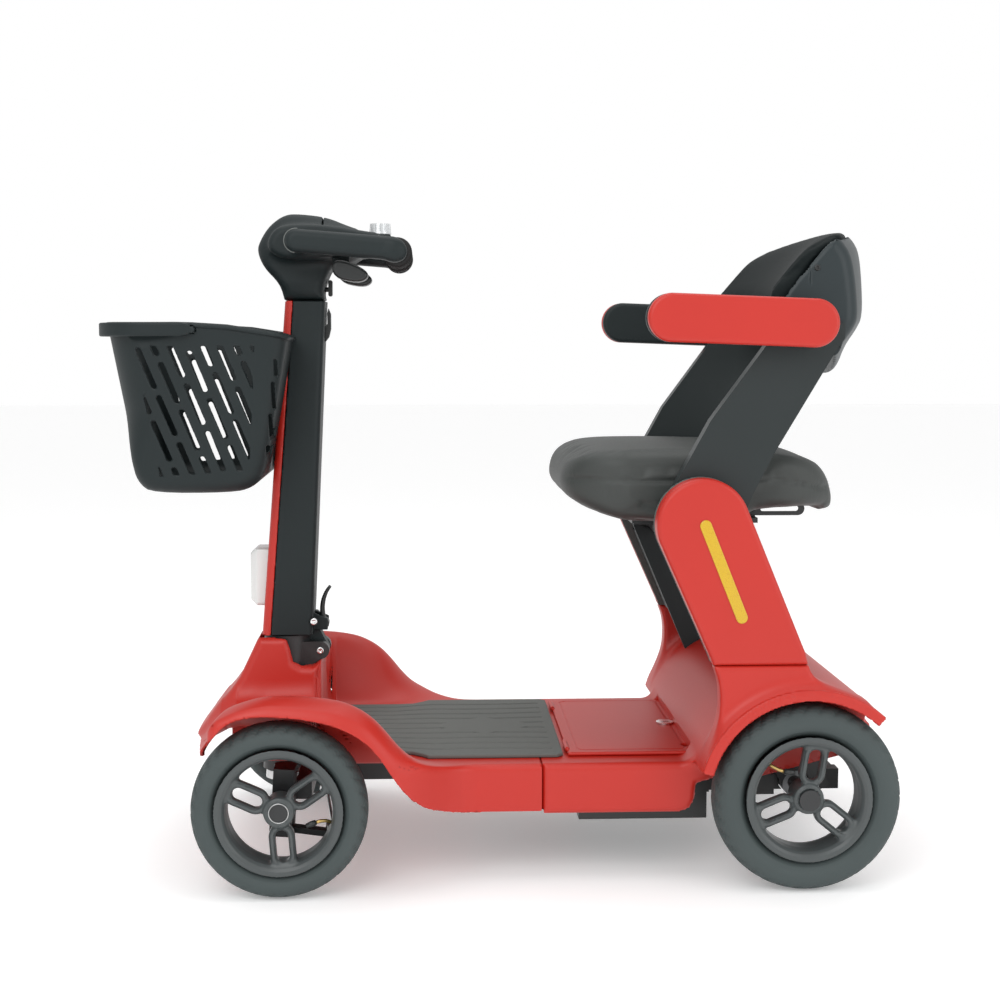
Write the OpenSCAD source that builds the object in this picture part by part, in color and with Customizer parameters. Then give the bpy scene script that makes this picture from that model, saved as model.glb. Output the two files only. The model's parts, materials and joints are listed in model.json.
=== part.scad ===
// Compact four-wheel mobility scooter.
// Millimetres. +X is forward, +Y is the rider's left, +Z is up, and the ground is Z = 0.
// Inside the modules X is counted from the rear axle; place() shifts the whole
// scooter so that the origin is on the ground under the middle of its length.

/* [Wheelbase and stance] */
// Distance between the front and rear axles
wheelbase = 600; // [592:2:608]
// Outer face of each tyre, from the centre plane
wheel_outer = 240; // [238:1:242]
// Width of each tyre
tyre_w = 50; // [46:1:52]
// Outer radius of a rear tyre
rear_r = 108; // [104:1:109]
// Outer radius of a front tyre
front_r = 100; // [96:1:102]
// Radius of the rim flange
rim_r = 73; // [70:1:74]

/* [Steering] */
// Backward lean of the steering axis and the kingpins, in degrees
rake = 4; // [3:0.5:5]
// Length of the pitman arm and of both knuckle arms
arm_l = 60; // [54:1:62]
// Distance of each kingpin from the centre plane
kingpin_y = 162; // [160:1:164]

/* [Body] */
// Height of the deck surface
deck_z = 138; // [134:1:140]
// Half of the deck's width
deck_hw = 180; // [178:1:182]
// Thickness of the body shells
skin = 4; // [3:0.5:5]

/* [Tiller] */
// Half of the tiller post's width
post_hw = 33; // [30:1:36]
// Outer face of the handle loop, from the centre plane
loop_hw = 115; // [110:1:118]

/* [Seat] */
// Half of the seat cushion's width
seat_hw = 163; // [150:1:164]
// Height of the cushion's crown
seat_z = 497; // [490:1:500]

/* [Basket] */
// Half of the basket's width at the rim
basket_hw = 145; // [130:1:150]
// Thickness of the basket's wall
basket_t = 3; // [2.5:0.5:4]

/* [Hidden] */
wb = wheelbase;
x_mid = 351.5;                       // middle of the length, from the rear axle
wy = wheel_outer - tyre_w / 2;      // middle plane of a wheel
steer_x = wb + 5 + 270 * tan(rake); // steering axis where it meets the ground
king_u = -(5 + (270 - front_r) * tan(rake)) * cos(rake); // kingpins, along the tilted X
run = 0.05;                         // radial running clearance
piv_x = 123; piv_z = 421;           // backrest pivot
fold_x = wb - 35; fold_z = 245;     // tiller fold pivot
lean = 23;                          // forward lean of the seat struts
pin_v = 14;                         // half of the distance between the pitman pins
arm_x = 8; arm_z = 634;             // armrest pivot
$fn = 64;

// ---------- helpers ----------
module place() translate([-x_mid, 0, 0]) children();
module both() { children(); mirror([0, 1, 0]) children(); }
// A polygon drawn in the XZ plane, thickened from y0 to y1
module prism(pts, y0, y1) translate([0, y1, 0]) rotate([90, 0, 0]) linear_extrude(y1 - y0) polygon(pts);
// A cylinder along Y
module ycyl(x, z, r, y0, y1) translate([x, y1, z]) rotate([90, 0, 0]) cylinder(r = r, h = y1 - y0);
module box(a, b) translate(a) cube(b - a);
// The tilted frame shared by the steering axis and the kingpins
module tilted() translate([steer_x, 0, 0]) rotate([0, -rake, 0]) children();
function arc(cx, cz, r, a0, a1, n = 12) = [for (i = [0:n]) let (a = a0 + (a1 - a0) * i / n) [cx + r * cos(a), cz + r * sin(a)]];
// Rear and front faces of the leaning post
function post_rear(z) = wb - 26 - (z - 268) * 19.5 / 403;
function post_front(z) = wb + 36 - (z - 265) * 33 / 411;
// A straight bar with round ends between two points of the XZ plane
function bar(x1, z1, x2, z2, r) = let (t = atan2(z2 - z1, x2 - x1))
    concat(arc(x2, z2, r, t - 90, t + 90, 14), arc(x1, z1, r, t + 90, t + 270, 14));
// Points of the strut's centre line, d along it from the pivot towards the foot
function strut_x(d) = piv_x - d * sin(lean);
function strut_z(d) = piv_z - d * cos(lean);
function strut_outline(r, d) = concat(
    arc(piv_x, piv_z, r, -lean, 180 - lean, 24),
    [[strut_x(d) - r * cos(lean), strut_z(d) + r * sin(lean)], [strut_x(d) + r * cos(lean), strut_z(d) - r * sin(lean)]]);

// ---------- chassis ----------
module frame() color([0.10, 0.11, 0.11]) difference() {
    union() {
        both() {
            box([-56, 126, 96], [wb - 160, 146, 120]);            // outer rail
            box([wb - 160, 60, 96], [wb - 32, 80, 120]);          // inner rail between the front wheels
            box([-56, 56, 96], [96, 64, 120]);                    // transaxle plates
            box([-30, 56, 84], [30, 64, 140]);
            box([26, 146, 96], [50, 167.9, 120]);                 // outrigger to the strut
        }
        box([-56, -126, 96], [-44, 126, 116]);                    // cross members
        box([84, -126, 96], [96, 126, 116]);
        box([290, -126, 96], [310, 126, 116]);
        box([wb - 176, -126, 96], [wb - 160, 126, 116]);
    }
    both() ycyl(0, 108, 16 + run, 50, 70);
    both() ycyl(0, 108, 17, 110, 160);
}
module front_subframe() color([0.10, 0.11, 0.11]) difference() {
    union() {
        box([wb - 32, -140, 94], [wb - 14, 140, 116]);            // axle beam
        tilted() {
            translate([0, 0, 92]) cylinder(r = 22, h = 60);       // head tube
            both() translate([king_u, kingpin_y, 86]) cylinder(r = 14, h = 44);
        }
        both() box([wb - 32, 134, 94], [wb, kingpin_y - 6, 116]);
        box([wb - 16, -16, 96], [wb + 12, 16, 116]);
    }
    tilted() {
        translate([0, 0, 60]) cylinder(r = 15 + run, h = 110);
        both() translate([king_u, kingpin_y, 60]) cylinder(r = 6 + run, h = 100);
    }
}
// Side view of a fender: an arc over the wheel with a turned-out lip
function fender(cx, cz, r, a0, a1, t) = concat(arc(cx, cz, r, a0, a1, 20), arc(cx, cz, r - t, a1, a0, 20));

// Outer edge of the front wing, as (distance from the front axle, height)
function wing_edge() = [[-186, 99], [-164, 105], [-142, 121], [-125, 149], [-108, 190], [-86, 205], [-40, 213],
    [13, 215], [35, 213], [57, 204], [76, 192], [90, 181]];
function wing_line() = [for (p = wing_edge()) [wb + p[0], p[1]]];
function lowered(pts, d) = [for (i = [len(pts) - 1:-1:0]) [pts[i][0], pts[i][1] - d]];

module front_shell() color([0.80, 0.16, 0.11]) difference() {
    union() {
        // floor with its side skirts
        difference() {
            prism([[300, 82], [wb - 200, 82], [wb - 172, 96], [wb - 160, deck_z], [300, deck_z]], -deck_hw, deck_hw);
            prism([[290, 60], [500, 60], [500, deck_z - skin], [290, deck_z - skin]], -deck_hw + skin, deck_hw - skin);
        }
        box([wb - 162, -134, deck_z - skin], [wb - 44, 134, deck_z]);
        // wings over the wheels, with a deeper lip along the outer edge
        both() {
            prism(concat(wing_line(), lowered(wing_line(), 6)), 132, wheel_outer + 3);
            prism(concat(wing_line(), lowered(wing_line(), 12)), wheel_outer, wheel_outer + 3);
            prism([[wb - 162, deck_z - skin], [wb + 20, deck_z - skin], [wb + 56, 180], [wb + 55, 193], [wb + 13, 211], [wb - 40, 210],
                [wb - 86, 202], [wb - 107, 186], [wb - 124, 146]], 130, 134);
        }
        // cowl between the wings
        prism([[wb - 48, deck_z - skin], [wb - 48, 190], [wb - 40, 200], [wb + 30, 208], [wb + 58, 196], [wb + 72, 180], [wb + 82, 167],
            [wb + 78, 162], [wb + 66, 176], [wb + 52, 190], [wb + 28, 200], [wb - 38, 192], [wb - 44, 186], [wb - 44, deck_z - skin]], -134, 134);
        // collar round the foot of the post
        prism([[wb - 38, 196], [wb - 38, 232], [wb - 14, 226], [wb - 4, 262], [wb + 40, 262], [wb + 62, 231], [wb + 78, 190]], -44, 44);
    }
    // opening for the column, the hinge and their turn
    // room for the ends of the frame's rails
    both() box([wb - 200, 125, 80], [wb - 159, 147, 124]);
    tilted() translate([0, 0, 140]) cylinder(r = 36, h = 140);
    tilted() translate([0, 0, 210]) rotate([0, 0, 100]) rotate_extrude(angle = 160) square([62, 80]);
}
module rear_shell() color([0.80, 0.16, 0.11]) difference() {
    union() {
        difference() {
            // body with skirts, the deck and the hump over the motor
            prism([[299.5, 82], [299.5, deck_z], [100, deck_z], [44, 168], [0, 190], [-60, 196], [-84, 180], [-84, 160],
                [60, 128], [122, 116], [122, 82]], -deck_hw, deck_hw);
            prism([[310, 60], [310, deck_z - skin], [102, deck_z - skin], [44, 164], [0, 185], [-58, 191], [-79, 178], [-79, 140],
                [-100, 60]], -deck_hw + skin, deck_hw - skin);
        }
        both() {
            // fender over the wheel, its lip and its inner wall
            prism(fender(0, 108, 130, 20, 132, 6), deck_hw - 1, wheel_outer + 3);
            prism(fender(0, 108, 130, 20, 132, 15), wheel_outer + 0.5, wheel_outer + 3);
            prism(concat(arc(0, 108, 129, 20, 132, 20), [[-84, 165], [100, 128]]), deck_hw - 2, deck_hw + 4);
            // foot that carries the strut cover
            difference() {
                prism([[108, 176], [106, 225], [102, 236], [98, 261], [-12, 261], [-14, 240], [-40, 226]], 206, 232);
                prism([[102, 170], [100, 222], [96, 236], [93, 270], [-8, 270], [-9, 240], [-30, 220]], 204, 228);
            }
        }
    }
    both() ycyl(0, 108, 122.8, deck_hw + 4, wheel_outer);
    // battery hatch opening
    box([120, -137, deck_z - 20], [259, 137, deck_z + 20]);
    both() ycyl(0, 108, 22, 160, 190);
    // slots where the strut plates and covers pass the deck
    both() prism([[76, 100], [122, 206], [-40, 206], [-86, 150]], 163.5, deck_hw - 2.5);
}
module floor_mat() color([0.36, 0.37, 0.36]) difference() {
    box([273, -150, deck_z + 0.2], [wb - 52, 150, deck_z + 5]);
    for (i = [0:4]) difference() {
        box([284 + 14 * i, -138 + 14 * i, deck_z + 3.5], [wb - 66 - 10 * i, 138 - 14 * i, deck_z + 9]);
        box([287 + 14 * i, -135 + 14 * i, deck_z + 3], [wb - 69 - 10 * i, 135 - 14 * i, deck_z + 10]);
    }
    both() box([wb - 163, 127, deck_z - 2], [wb, 160, deck_z + 9]);   // clear of the wings
}
module battery_pack() color([0.12, 0.13, 0.14]) union() {
    box([106, -108, 62], [246, 108, 112]);
    box([166, -40, 112], [186, -34, 126]);                        // carrying handle
    box([166, 34, 112], [186, 40, 126]);
    box([166, -40, 126], [186, 40, 130]);
}
module battery_tray() color([0.08, 0.08, 0.09]) union() {
    difference() {
        box([98, -125, 56], [252, 125, 95.8]);
        box([102, -121, 60], [248, 121, 110]);
    }
    both() box([98, 125, 92], [252, 140, 95.8]);                  // flange under the rails
}
module controller_box() color([0.55, 0.56, 0.58]) union() {
    box([318, -50, 92], [420, 50, 122]);
    for (i = [0:7]) box([322 + 12 * i, -46, 122], [327 + 12 * i, 46, 128]);
}

module transaxle() color([0.45, 0.46, 0.48]) difference() {
    union() {
        ycyl(0, 108, 40, -26, 26);
        ycyl(0, 108, 28, -50, 50);
        ycyl(0, 108, 16, -160, 160);
    }
    ycyl(0, 108, 8 + run, -161, -20);
    ycyl(0, 108, 8 + run, 20, 161);
}
module drive_motor() color([0.16, 0.16, 0.17]) union() {
    translate([40.2, 0, 110]) rotate([0, 90, 0]) cylinder(r = 23, h = 38);
    translate([78.2, 0, 110]) rotate([0, 90, 0]) cylinder(r = 16, h = 4);
}
// ---------- seat struts ----------
module strut_frames() color([0.13, 0.13, 0.14]) both() difference() {
    prism(strut_outline(26, 352), 168, 173);
    ycyl(0, 108, 17, 160, 180);
    ycyl(piv_x, piv_z, 8.02, 160, 180);
}
module strut_covers() color([0.80, 0.16, 0.11]) both() difference() {
    prism(strut_outline(53, 250), 206, 232);
    prism(strut_outline(49, 250), 200, 228);
    box([-200, 190, 0], [300, 240, 261.5]);
}
module strut_inner_covers() color([0.12, 0.13, 0.13]) both() difference() {
    prism(strut_outline(43, 300), 164, 205.5);
    prism(strut_outline(39, 330), 167.5, 207);
    box([-200, 173.5, 0], [300, 210, 262]);
    ycyl(piv_x, piv_z, 47, 160, 210);
    box([-200, 150, 0], [300, 210, 172]);
    box([-200, 150, 392], [300, 173.6, 500]);
    ycyl(118, 380, 12.5, 150, 173);
    box([-200, 173.4, 370], [300, 210, 520]);
}
module reflectors() color([0.98, 0.78, 0.05]) both()
    prism(bar(121.3, 421, 79.3, 317, 6.5), 232, 233.5);
module pivot_pins() color([0.6, 0.6, 0.62]) both() union() {
    ycyl(piv_x, piv_z, 8, 168, 203);
    ycyl(piv_x, piv_z, 13, 200.6, 203);
}

// ---------- battery hatch ----------
module battery_hatch() color([0.80, 0.16, 0.11]) difference() {
    union() {
        box([113, -145, deck_z + 0.2], [267, 145, deck_z + 5]);
        both() ycyl(267, deck_z + 5, 2.8, 90, 130);               // hinge barrels
    }
    translate([131, 0, deck_z - 5]) cylinder(r = 9 + run, h = 30);
    translate([121, 112, deck_z - 5]) cylinder(r = 7, h = 30);    // finger hole
}
module hatch_lock() color([0.75, 0.76, 0.78]) difference() {
    union() {
        translate([131, 0, deck_z - 8]) cylinder(r = 9, h = 13.5);
        translate([131, 0, deck_z + 5.3]) cylinder(r = 11, h = 2);
        box([123, -5, deck_z - 11], [139, 5, deck_z - 8]);
    }
    box([126, -1.2, deck_z + 5], [136, 1.2, deck_z + 12]);        // key slot
}
// ---------- steering ----------
module steering_shaft() color([0.5, 0.5, 0.52]) tilted() union() {
    translate([0, 0, 80]) cylinder(r = 15, h = 110);
    translate([0, 0, 80]) cylinder(r = 18, h = 10);
    translate([-arm_l, -11, 80]) cube([arm_l, 22, 10]);           // pitman arm with its two pins
    translate([-arm_l - 9, -pin_v - 9, 80]) cube([18, 2 * pin_v + 18, 10]);
    both() translate([-arm_l, pin_v, 67]) cylinder(r = 5, h = 14);
}
module tiller_hinge_base() color([0.09, 0.10, 0.10]) union() {
    difference() {
        union() {
            tilted() difference() {
                translate([0, 0, 153]) cylinder(r = 30, h = 120);
                translate([0, 0, 150]) cylinder(r = 15.02, h = 40);
            }
            // clevis that holds the fold pivot
            prism(concat(arc(fold_x, fold_z, 11, 90, 270, 12), [[wb - 20, 224], [wb - 4, 224], [wb - 4, 256]]), -24, 24);
        }
        box([fold_x - 20, -12, 200], [wb - 12, 12, 290]);
        // flat top under the post
        box([wb - 60, -60, 264], [wb + 60, 60, 300]);
    }
    ycyl(fold_x, fold_z, 5, -24, 24);                             // fold pin
}
module knuckle() tilted() union() {
    translate([king_u, kingpin_y, 60]) cylinder(r = 6, h = 78);                   // kingpin
    translate([king_u, kingpin_y, 60]) cylinder(r = 15, h = 25);
    translate([king_u, kingpin_y, 131]) cylinder(r = 13, h = 8);
    translate([king_u - 12, kingpin_y, 60]) cube([24, 26, 22]);
    translate([king_u - 12, kingpin_y, 131]) cube([24, 26, 8]);
    translate([king_u - 12, kingpin_y + 18, 60]) cube([24, 8, 79]);
    // steering arm, parallel to the pitman arm, with the rod's pin
    translate([king_u, kingpin_y, 60]) rotate([0, 0, atan2(pin_v, -arm_l)]) translate([0, -7, 1]) cube([norm([arm_l, pin_v]), 14, 7]);
    translate([king_u - arm_l, kingpin_y + pin_v, 60]) cylinder(r = 9, h = 9);
    translate([king_u - arm_l, kingpin_y + pin_v, 69]) cylinder(r = 5, h = 8);
}
module stub_axle() ycyl(wb, front_r, 10, kingpin_y + 20, wheel_outer - 4);
module knuckle_left() color([0.14, 0.14, 0.15]) union() { knuckle(); stub_axle(); }
module knuckle_right() color([0.14, 0.14, 0.15]) mirror([0, 1, 0]) union() { knuckle(); stub_axle(); }
// The rod runs from the pitman pin to the knuckle's pin; its outer eye is loose
module tie_rod() tilted() difference() {
    union() {
        translate([-arm_l, pin_v, 70]) cylinder(r = 9, h = 5);
        translate([king_u - arm_l, kingpin_y + pin_v, 70]) cylinder(r = 9, h = 5);
        translate([-arm_l, pin_v, 72.5]) rotate([0, 0, atan2(kingpin_y, king_u)]) rotate([0, 90, 0]) cylinder(r = 2.4, h = norm([kingpin_y, king_u]));
    }
    translate([-arm_l, pin_v, 60]) cylinder(r = 5 + run, h = 30);
    translate([king_u - arm_l, kingpin_y + pin_v, 60]) cylinder(r = 5.6, h = 30);
}
module tie_rod_left() color([0.4, 0.4, 0.42]) tie_rod();
module tie_rod_right() color([0.4, 0.4, 0.42]) mirror([0, 1, 0]) tie_rod();

// ---------- wheels ----------
// Half section of a tyre as a closed ring of points: (distance from the axle, distance from the middle plane)
function tyre_section(R) = let (n = 40, rb = rim_r - 3, c = (R + rb) / 2, h = (R - rb) / 2)
    [for (i = [0:n - 1]) let (a = 360 * i / n, s = pow(abs(sin(a)), 0.8) * sign(sin(a)), k = pow(abs(cos(a)), 0.8) * sign(cos(a)))
        [c + h * k, tyre_w / 2 * s * (k < 0 ? 1 + 0.12 * k : 1)]];
module tyre(x, z, R) translate([x, wy, z]) rotate([90, 0, 0]) rotate_extrude($fn = 96) polygon(tyre_section(R));
module spoke(a) rotate([0, 0, a]) difference() {
    translate([18, -11, 0]) cube([44, 22, 12]);
    translate([34, 0, -1]) cylinder(r = 4.5, h = 20);
    translate([54, 0, -1]) cylinder(r = 4.5, h = 20);
    translate([34, -4.5, -1]) cube([20, 9, 20]);
}
// Rim with a barrel, two flanges, a hub and three slotted spokes; bore along its axis
module rim(x, z, bore, a0) translate([x, wy, z]) rotate([90, 0, 0]) difference() {
    union() {
        rotate_extrude($fn = 96) polygon([[rim_r - 4.2, -20], [rim_r, -22], [rim_r, -24], [rim_r - 8, -24], [rim_r - 13, -16], [rim_r - 13, 16],
            [rim_r - 8, 24], [rim_r, 24], [rim_r, 22], [rim_r - 4.2, 20], [rim_r - 9, 14], [rim_r - 9, -14]]);
        translate([0, 0, -21]) cylinder(r = 20, h = 42);
        for (i = [0:2]) translate([0, 0, -16]) spoke(a0 + 120 * i);
    }
    translate([0, 0, -30]) cylinder(r = bore, h = 60);
}
module tyre_front_left() color([0.10, 0.11, 0.12]) difference() { tyre(wb, front_r, front_r); rim_gap(wb, front_r); }
module tyre_front_right() color([0.10, 0.11, 0.12]) mirror([0, 1, 0]) difference() { tyre(wb, front_r, front_r); rim_gap(wb, front_r); }
module tyre_rear_left() color([0.10, 0.11, 0.12]) difference() { tyre(0, 108, rear_r); rim_gap(0, 108); }
module tyre_rear_right() color([0.10, 0.11, 0.12]) mirror([0, 1, 0]) difference() { tyre(0, 108, rear_r); rim_gap(0, 108); }
// Space the rim takes inside the tyre's bead
module rim_gap(x, z) translate([x, wy, z]) rotate([90, 0, 0]) rotate_extrude($fn = 96)
    polygon([[0, -30], [rim_r + 0.2, -30], [rim_r + 0.2, -21.8], [rim_r - 4, -19.8], [rim_r - 4, 19.8], [rim_r + 0.2, 21.8], [rim_r + 0.2, 30], [0, 30]]);
module rim_front_left() color([0.09, 0.10, 0.10]) rim(wb, front_r, 10 + run, 25);
module rim_front_right() color([0.09, 0.10, 0.10]) mirror([0, 1, 0]) rim(wb, front_r, 10 + run, 25);
module rim_rear_left() color([0.09, 0.10, 0.10]) rim(0, 108, 8.02, 99);
module rim_rear_right() color([0.09, 0.10, 0.10]) mirror([0, 1, 0]) rim(0, 108, 8.02, 99);
module half_shaft() union() { ycyl(0, 108, 8, 22, wheel_outer - 3); ycyl(0, 108, 12, wheel_outer - 4, wheel_outer + 1); }
module half_shaft_left() color([0.6, 0.6, 0.62]) half_shaft();
module half_shaft_right() color([0.6, 0.6, 0.62]) mirror([0, 1, 0]) half_shaft();

// ---------- tiller ----------
module tiller_post() color([0.14, 0.15, 0.15]) union() {
    difference() {
        union() {
            prism([[wb + 25, 265], [wb - 7, 675], [post_rear(671), 671], [post_rear(265), 265]], -post_hw, post_hw);
            // tongue of the fold hinge
            prism(concat(arc(fold_x, fold_z, 10, 120, 300, 12), [[wb - 14, 258], [wb - 14, 268], [wb - 28, 268]]), -11.5, 11.5);
        }
        prism([[wb + 20, 272], [wb - 10, 660], [wb - 41, 660], [wb - 22, 300], [wb - 14, 274]], -post_hw + 3, post_hw - 3);
        ycyl(fold_x, fold_z, 5 + run, -20, 20);
        box([wb + 5, -22, 300], [wb + 40, 22, 374]);              // room for the headlight's back
    }
    // ears and pin of the fold lever
    both() prism([[wb - 44, 269], [wb - 44, 283], [post_rear(290), 290], [post_rear(269), 269]], 9.5, 14);
    ycyl(wb - 38, 276, 3, -12, 12);
}
module tiller_front_cover() color([0.80, 0.16, 0.11]) difference() {
    prism([[post_front(265), 265], [post_front(676), 676], [wb - 7, 676], [wb - 7, 675.2], [wb + 25.1, 265]], -post_hw, post_hw);
    box([wb - 30, -22, 300], [wb + 60, 22, 374]);
}
module headlight() color([0.93, 0.95, 0.95]) union() {
    box([wb + 18, -21, 301], [wb + 42, 21, 373]);
    prism(concat(arc(wb + 43, 309, 8, -90, 0, 6), arc(wb + 40, 365, 8, 0, 90, 6)), -18, 18);
}
// Console: a rounded head over the post that spreads back into the dashboard
module console_housing() color([0.13, 0.14, 0.14]) difference() {
    union() {
        prism([[wb + 3, 677], [wb + 8, 694], [wb + 28, 716], [wb + 36, 735], [wb + 25, 759], [wb + 4, 778], [wb - 17, 779], [wb - 50, 775],
            [wb - 78, 763], [wb - 90, 758], [wb - 90, 722], [wb - 56, 718], [wb - 44, 698], [wb - 44, 677]], -38, 38);
        prism([[wb + 22, 735], [wb + 14, 756], [wb - 4, 766], [wb - 50, 764], [wb - 96, 756], [wb - 114, 755], [wb - 114, 733], [wb - 60, 726], [wb, 722]], -70, 70);
        box([wb - 126, -22, 733], [wb - 100, 22, 757]);           // tongue under the speed dial
        ycyl(wb - 20, 742, 12, -90, 90);
        both() box([wb - 76, 40, 712], [wb - 56, 55, 735]);       // paddle bearings
    }
    translate([wb - 112, 0, 744]) cylinder(r = 4 + run, h = 30);
    translate([wb - 70, -50, 750]) cylinder(r = 5 + run, h = 30);
    translate([wb - 44.5, 0, 690]) rotate([0, 90, 0]) cylinder(r = 3, h = 12);
    ycyl(wb - 66, 719, 4 + run, -60, 60);
}
module handle_loop() color([0.13, 0.14, 0.14]) both() union() {
    prism(bar(wb - 17, 743, wb - 122, 735, 13.5), 90, loop_hw);
    ycyl(wb - 134, 731, 9, 22, 92);
}
module hand_grips() color([0.05, 0.05, 0.05]) both() difference() {
    union() {
        ycyl(wb - 134, 731, 16.5, 23, 89.5);
        for (i = [0:11]) ycyl(wb - 134 + 16.5 * cos(i * 30), 731 + 16.5 * sin(i * 30), 1.6, 25, 88);
    }
    ycyl(wb - 134, 731, 9.02, 0, 95);
}
module bag_hook() color([0.10, 0.10, 0.10]) prism([[post_rear(625) - 0.05, 625], [post_rear(645) - 0.05, 645], [wb - 46.5, 648], [wb - 46.5, 661],
    [wb - 48, 667], [wb - 50.8, 660], [wb - 50.8, 642], [wb - 48.5, 632]], -5, 5);
module basket_bracket() color([0.11, 0.12, 0.12]) for (z = [490, 590])
    prism([[post_front(z) + 0.05, z], [post_front(z) + 5, z], [post_front(z + 26) + 5, z + 26], [post_front(z + 26) + 0.05, z + 26]], -18, 18);
module fold_lever() color([0.10, 0.10, 0.11]) difference() {
    union() {
        prism(bar(wb - 38, 276, wb - 36.5, 314, 4), -6, 6);
        ycyl(wb - 38, 276, 7, -9, 9);
    }
    ycyl(wb - 38, 276, 3 + run, -30, 30);
}
module throttle_paddle() color([0.09, 0.09, 0.10]) union() {
    both() prism([[wb - 58, 722], [wb - 74, 722], [wb - 99, 709], [wb - 99, 700], [wb - 87, 695], [wb - 58, 702]], 57, 88);
    ycyl(wb - 66, 719, 4, -58, 58);
}
module speed_dial() color([0.85, 0.86, 0.87]) translate([wb - 112, 0, 746]) difference() {
    union() {
        cylinder(r = 4, h = 13);
        translate([0, 0, 11.5]) cylinder(r1 = 13.5, r2 = 12.5, h = 12.5);
    }
    for (i = [0:11]) rotate([0, 0, i * 30]) translate([13.6, 0, 14]) cylinder(r = 1.5, h = 20);
}
module horn_button() color([0.75, 0.12, 0.08]) translate([wb - 70, -50, 754]) cylinder(r = 5, h = 14);
module ignition_key() color([0.08, 0.08, 0.08]) union() {
    translate([wb - 50.5, 0, 690]) rotate([0, 90, 0]) cylinder(r = 2.93, h = 16);
    prism(bar(wb - 50.5, 699, wb - 50.5, 684, 2.5), -5, 5);
}
// ---------- basket ----------
// Side view of the basket, drawn d inside its outer surface
function basket_side(d) = [[wb + 204 - d, 648.5], [wb + 176 - d, 479], [wb + 168 - d, 461 + d * 0.5], [wb + 154 - d * 0.5, 449 + d],
    [wb + 62, 449 + d], [wb + 36 + d * 0.5, 455 + d * 0.7], [wb + 20 + d, 474], [wb - 8 + d, 632], [wb + 8 + d, 636], [wb + 60, 645], [wb + 100, 648.5]];
// Front view: the sides lean in towards the floor
module basket_width(d) translate([wb - 60, 0, 0]) rotate([90, 0, 90]) linear_extrude(400)
    polygon([[-basket_hw + 26 + d, 440], [basket_hw - 26 - d, 440], [basket_hw - d, 660], [basket_hw - d, 740], [-basket_hw + d, 740], [-basket_hw + d, 660]]);
// Notch round the post and its bracket
module basket_notch(d) prism([[wb - 60, 400], [post_front(400) + 7 + d, 400], [post_front(720) + 7 + d, 720], [wb - 60, 720]], -post_hw - 7 - d, post_hw + 7 + d);
module basket() color([0.12, 0.13, 0.13]) difference() {
    intersection() { prism(basket_side(0), -basket_hw, basket_hw); basket_width(0); }
    difference() {
        intersection() {
            prism(concat([[wb + 212 - basket_t, 700]], [for (i = [1:6]) basket_side(basket_t)[i]], [[wb - 14 + basket_t, 700]]), -basket_hw, basket_hw);
            basket_width(basket_t);
        }
        basket_notch(basket_t);
    }
    basket_notch(0);
    ycyl(wb + 100, 639.5, 4 + run, -160, 160);
    // slanted slots through both sides
    for (i = [0:5]) for (j = [0:2]) translate([wb + 64 + 19 * i, 0, 500 + 46 * j + 8 * (i % 2)])
        rotate([0, 22, 0]) translate([-3, -200, -15]) cube([6, 400, 32]);
}
// Folding carry handle that lies round the rim
module basket_handle() color([0.11, 0.12, 0.12]) union() {
    difference() {
        box([wb + 92, -basket_hw - 6, 632], [wb + 213, basket_hw + 6, 647]);
        box([wb + 80, -basket_hw - 1, 620], [wb + 207, basket_hw + 1, 660]);
    }
    both() ycyl(wb + 100, 639.5, 4, basket_hw - 9, basket_hw + 3);
}

// ---------- backrest ----------
module backrest_frame() color([0.15, 0.16, 0.16]) union() {
    both() difference() {
        prism(concat(arc(piv_x, piv_z, 45, 210, 386, 20),
            [[153, 461], [111, 538], [53, 617], [33, 647], [-40, 647], [-40, 630], [-29, 614], [16, 538], [38, 501], [63, 452]]), 179, 200);
        ycyl(piv_x, piv_z, 8 + run, 170, 210);
        ycyl(arm_x, arm_z, 7 + run, 170, 210);
    }
    ycyl(-24, 634, 9, -179.5, 179.5);
}
module backrest_shell() color([0.14, 0.15, 0.15]) difference() {
    prism([[-74, 766], [-90, 755], [-103, 738], [-108, 700], [-110, 656], [-98, 641], [-83, 622], [-61, 587], [-52, 590], [-40, 625],
        [-20, 652], [30, 655], [36, 676], [22, 697], [0, 724], [-34, 752]], -195, 195);
    prism([[-88, 749], [-99, 737], [-104, 700], [-106, 658], [-95, 644], [-80, 626], [-60, 595], [-20, 600], [60, 640], [60, 700], [20, 760], [-76, 790]], -191, 191);
    both() prism([[-56, 560], [-56, 652], [60, 652], [60, 560]], 177, 202);
    ycyl(-24, 634, 9.5, -200, 200);
}
module backrest_pad() color([0.13, 0.14, 0.14]) prism([[-72, 764], [-46, 760], [-20, 750], [-8, 742], [14, 722], [36, 694], [47, 676], [42, 662], [14, 650],
    [-8, 652], [-19, 690], [-39, 728], [-74, 756]], -190, 190);
module shell_screws() color([0.05, 0.05, 0.05]) both() for (p = [[-8, 709], [-66, 640]]) ycyl(p[0], p[1], 4, 195, 197);
// ---------- armrests ----------
module armrest_cover() difference() {
    prism(bar(162, 652.5, 3, 646.5, 27), 227, 243);
    prism(bar(162, 652.5, 3, 646.5, 24), 220, 240);
}
module armrest_inner() union() {
    prism(bar(162, 652.5, 3, 646.5, 27), 211, 226.5);
    ycyl(arm_x, arm_z, 7, 179.5, 212);
}
module armrest_cover_left() color([0.80, 0.16, 0.11]) armrest_cover();
module armrest_cover_right() color([0.80, 0.16, 0.11]) mirror([0, 1, 0]) armrest_cover();
module armrest_inner_left() color([0.12, 0.13, 0.13]) armrest_inner();
module armrest_inner_right() color([0.12, 0.13, 0.13]) mirror([0, 1, 0]) armrest_inner();

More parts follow.
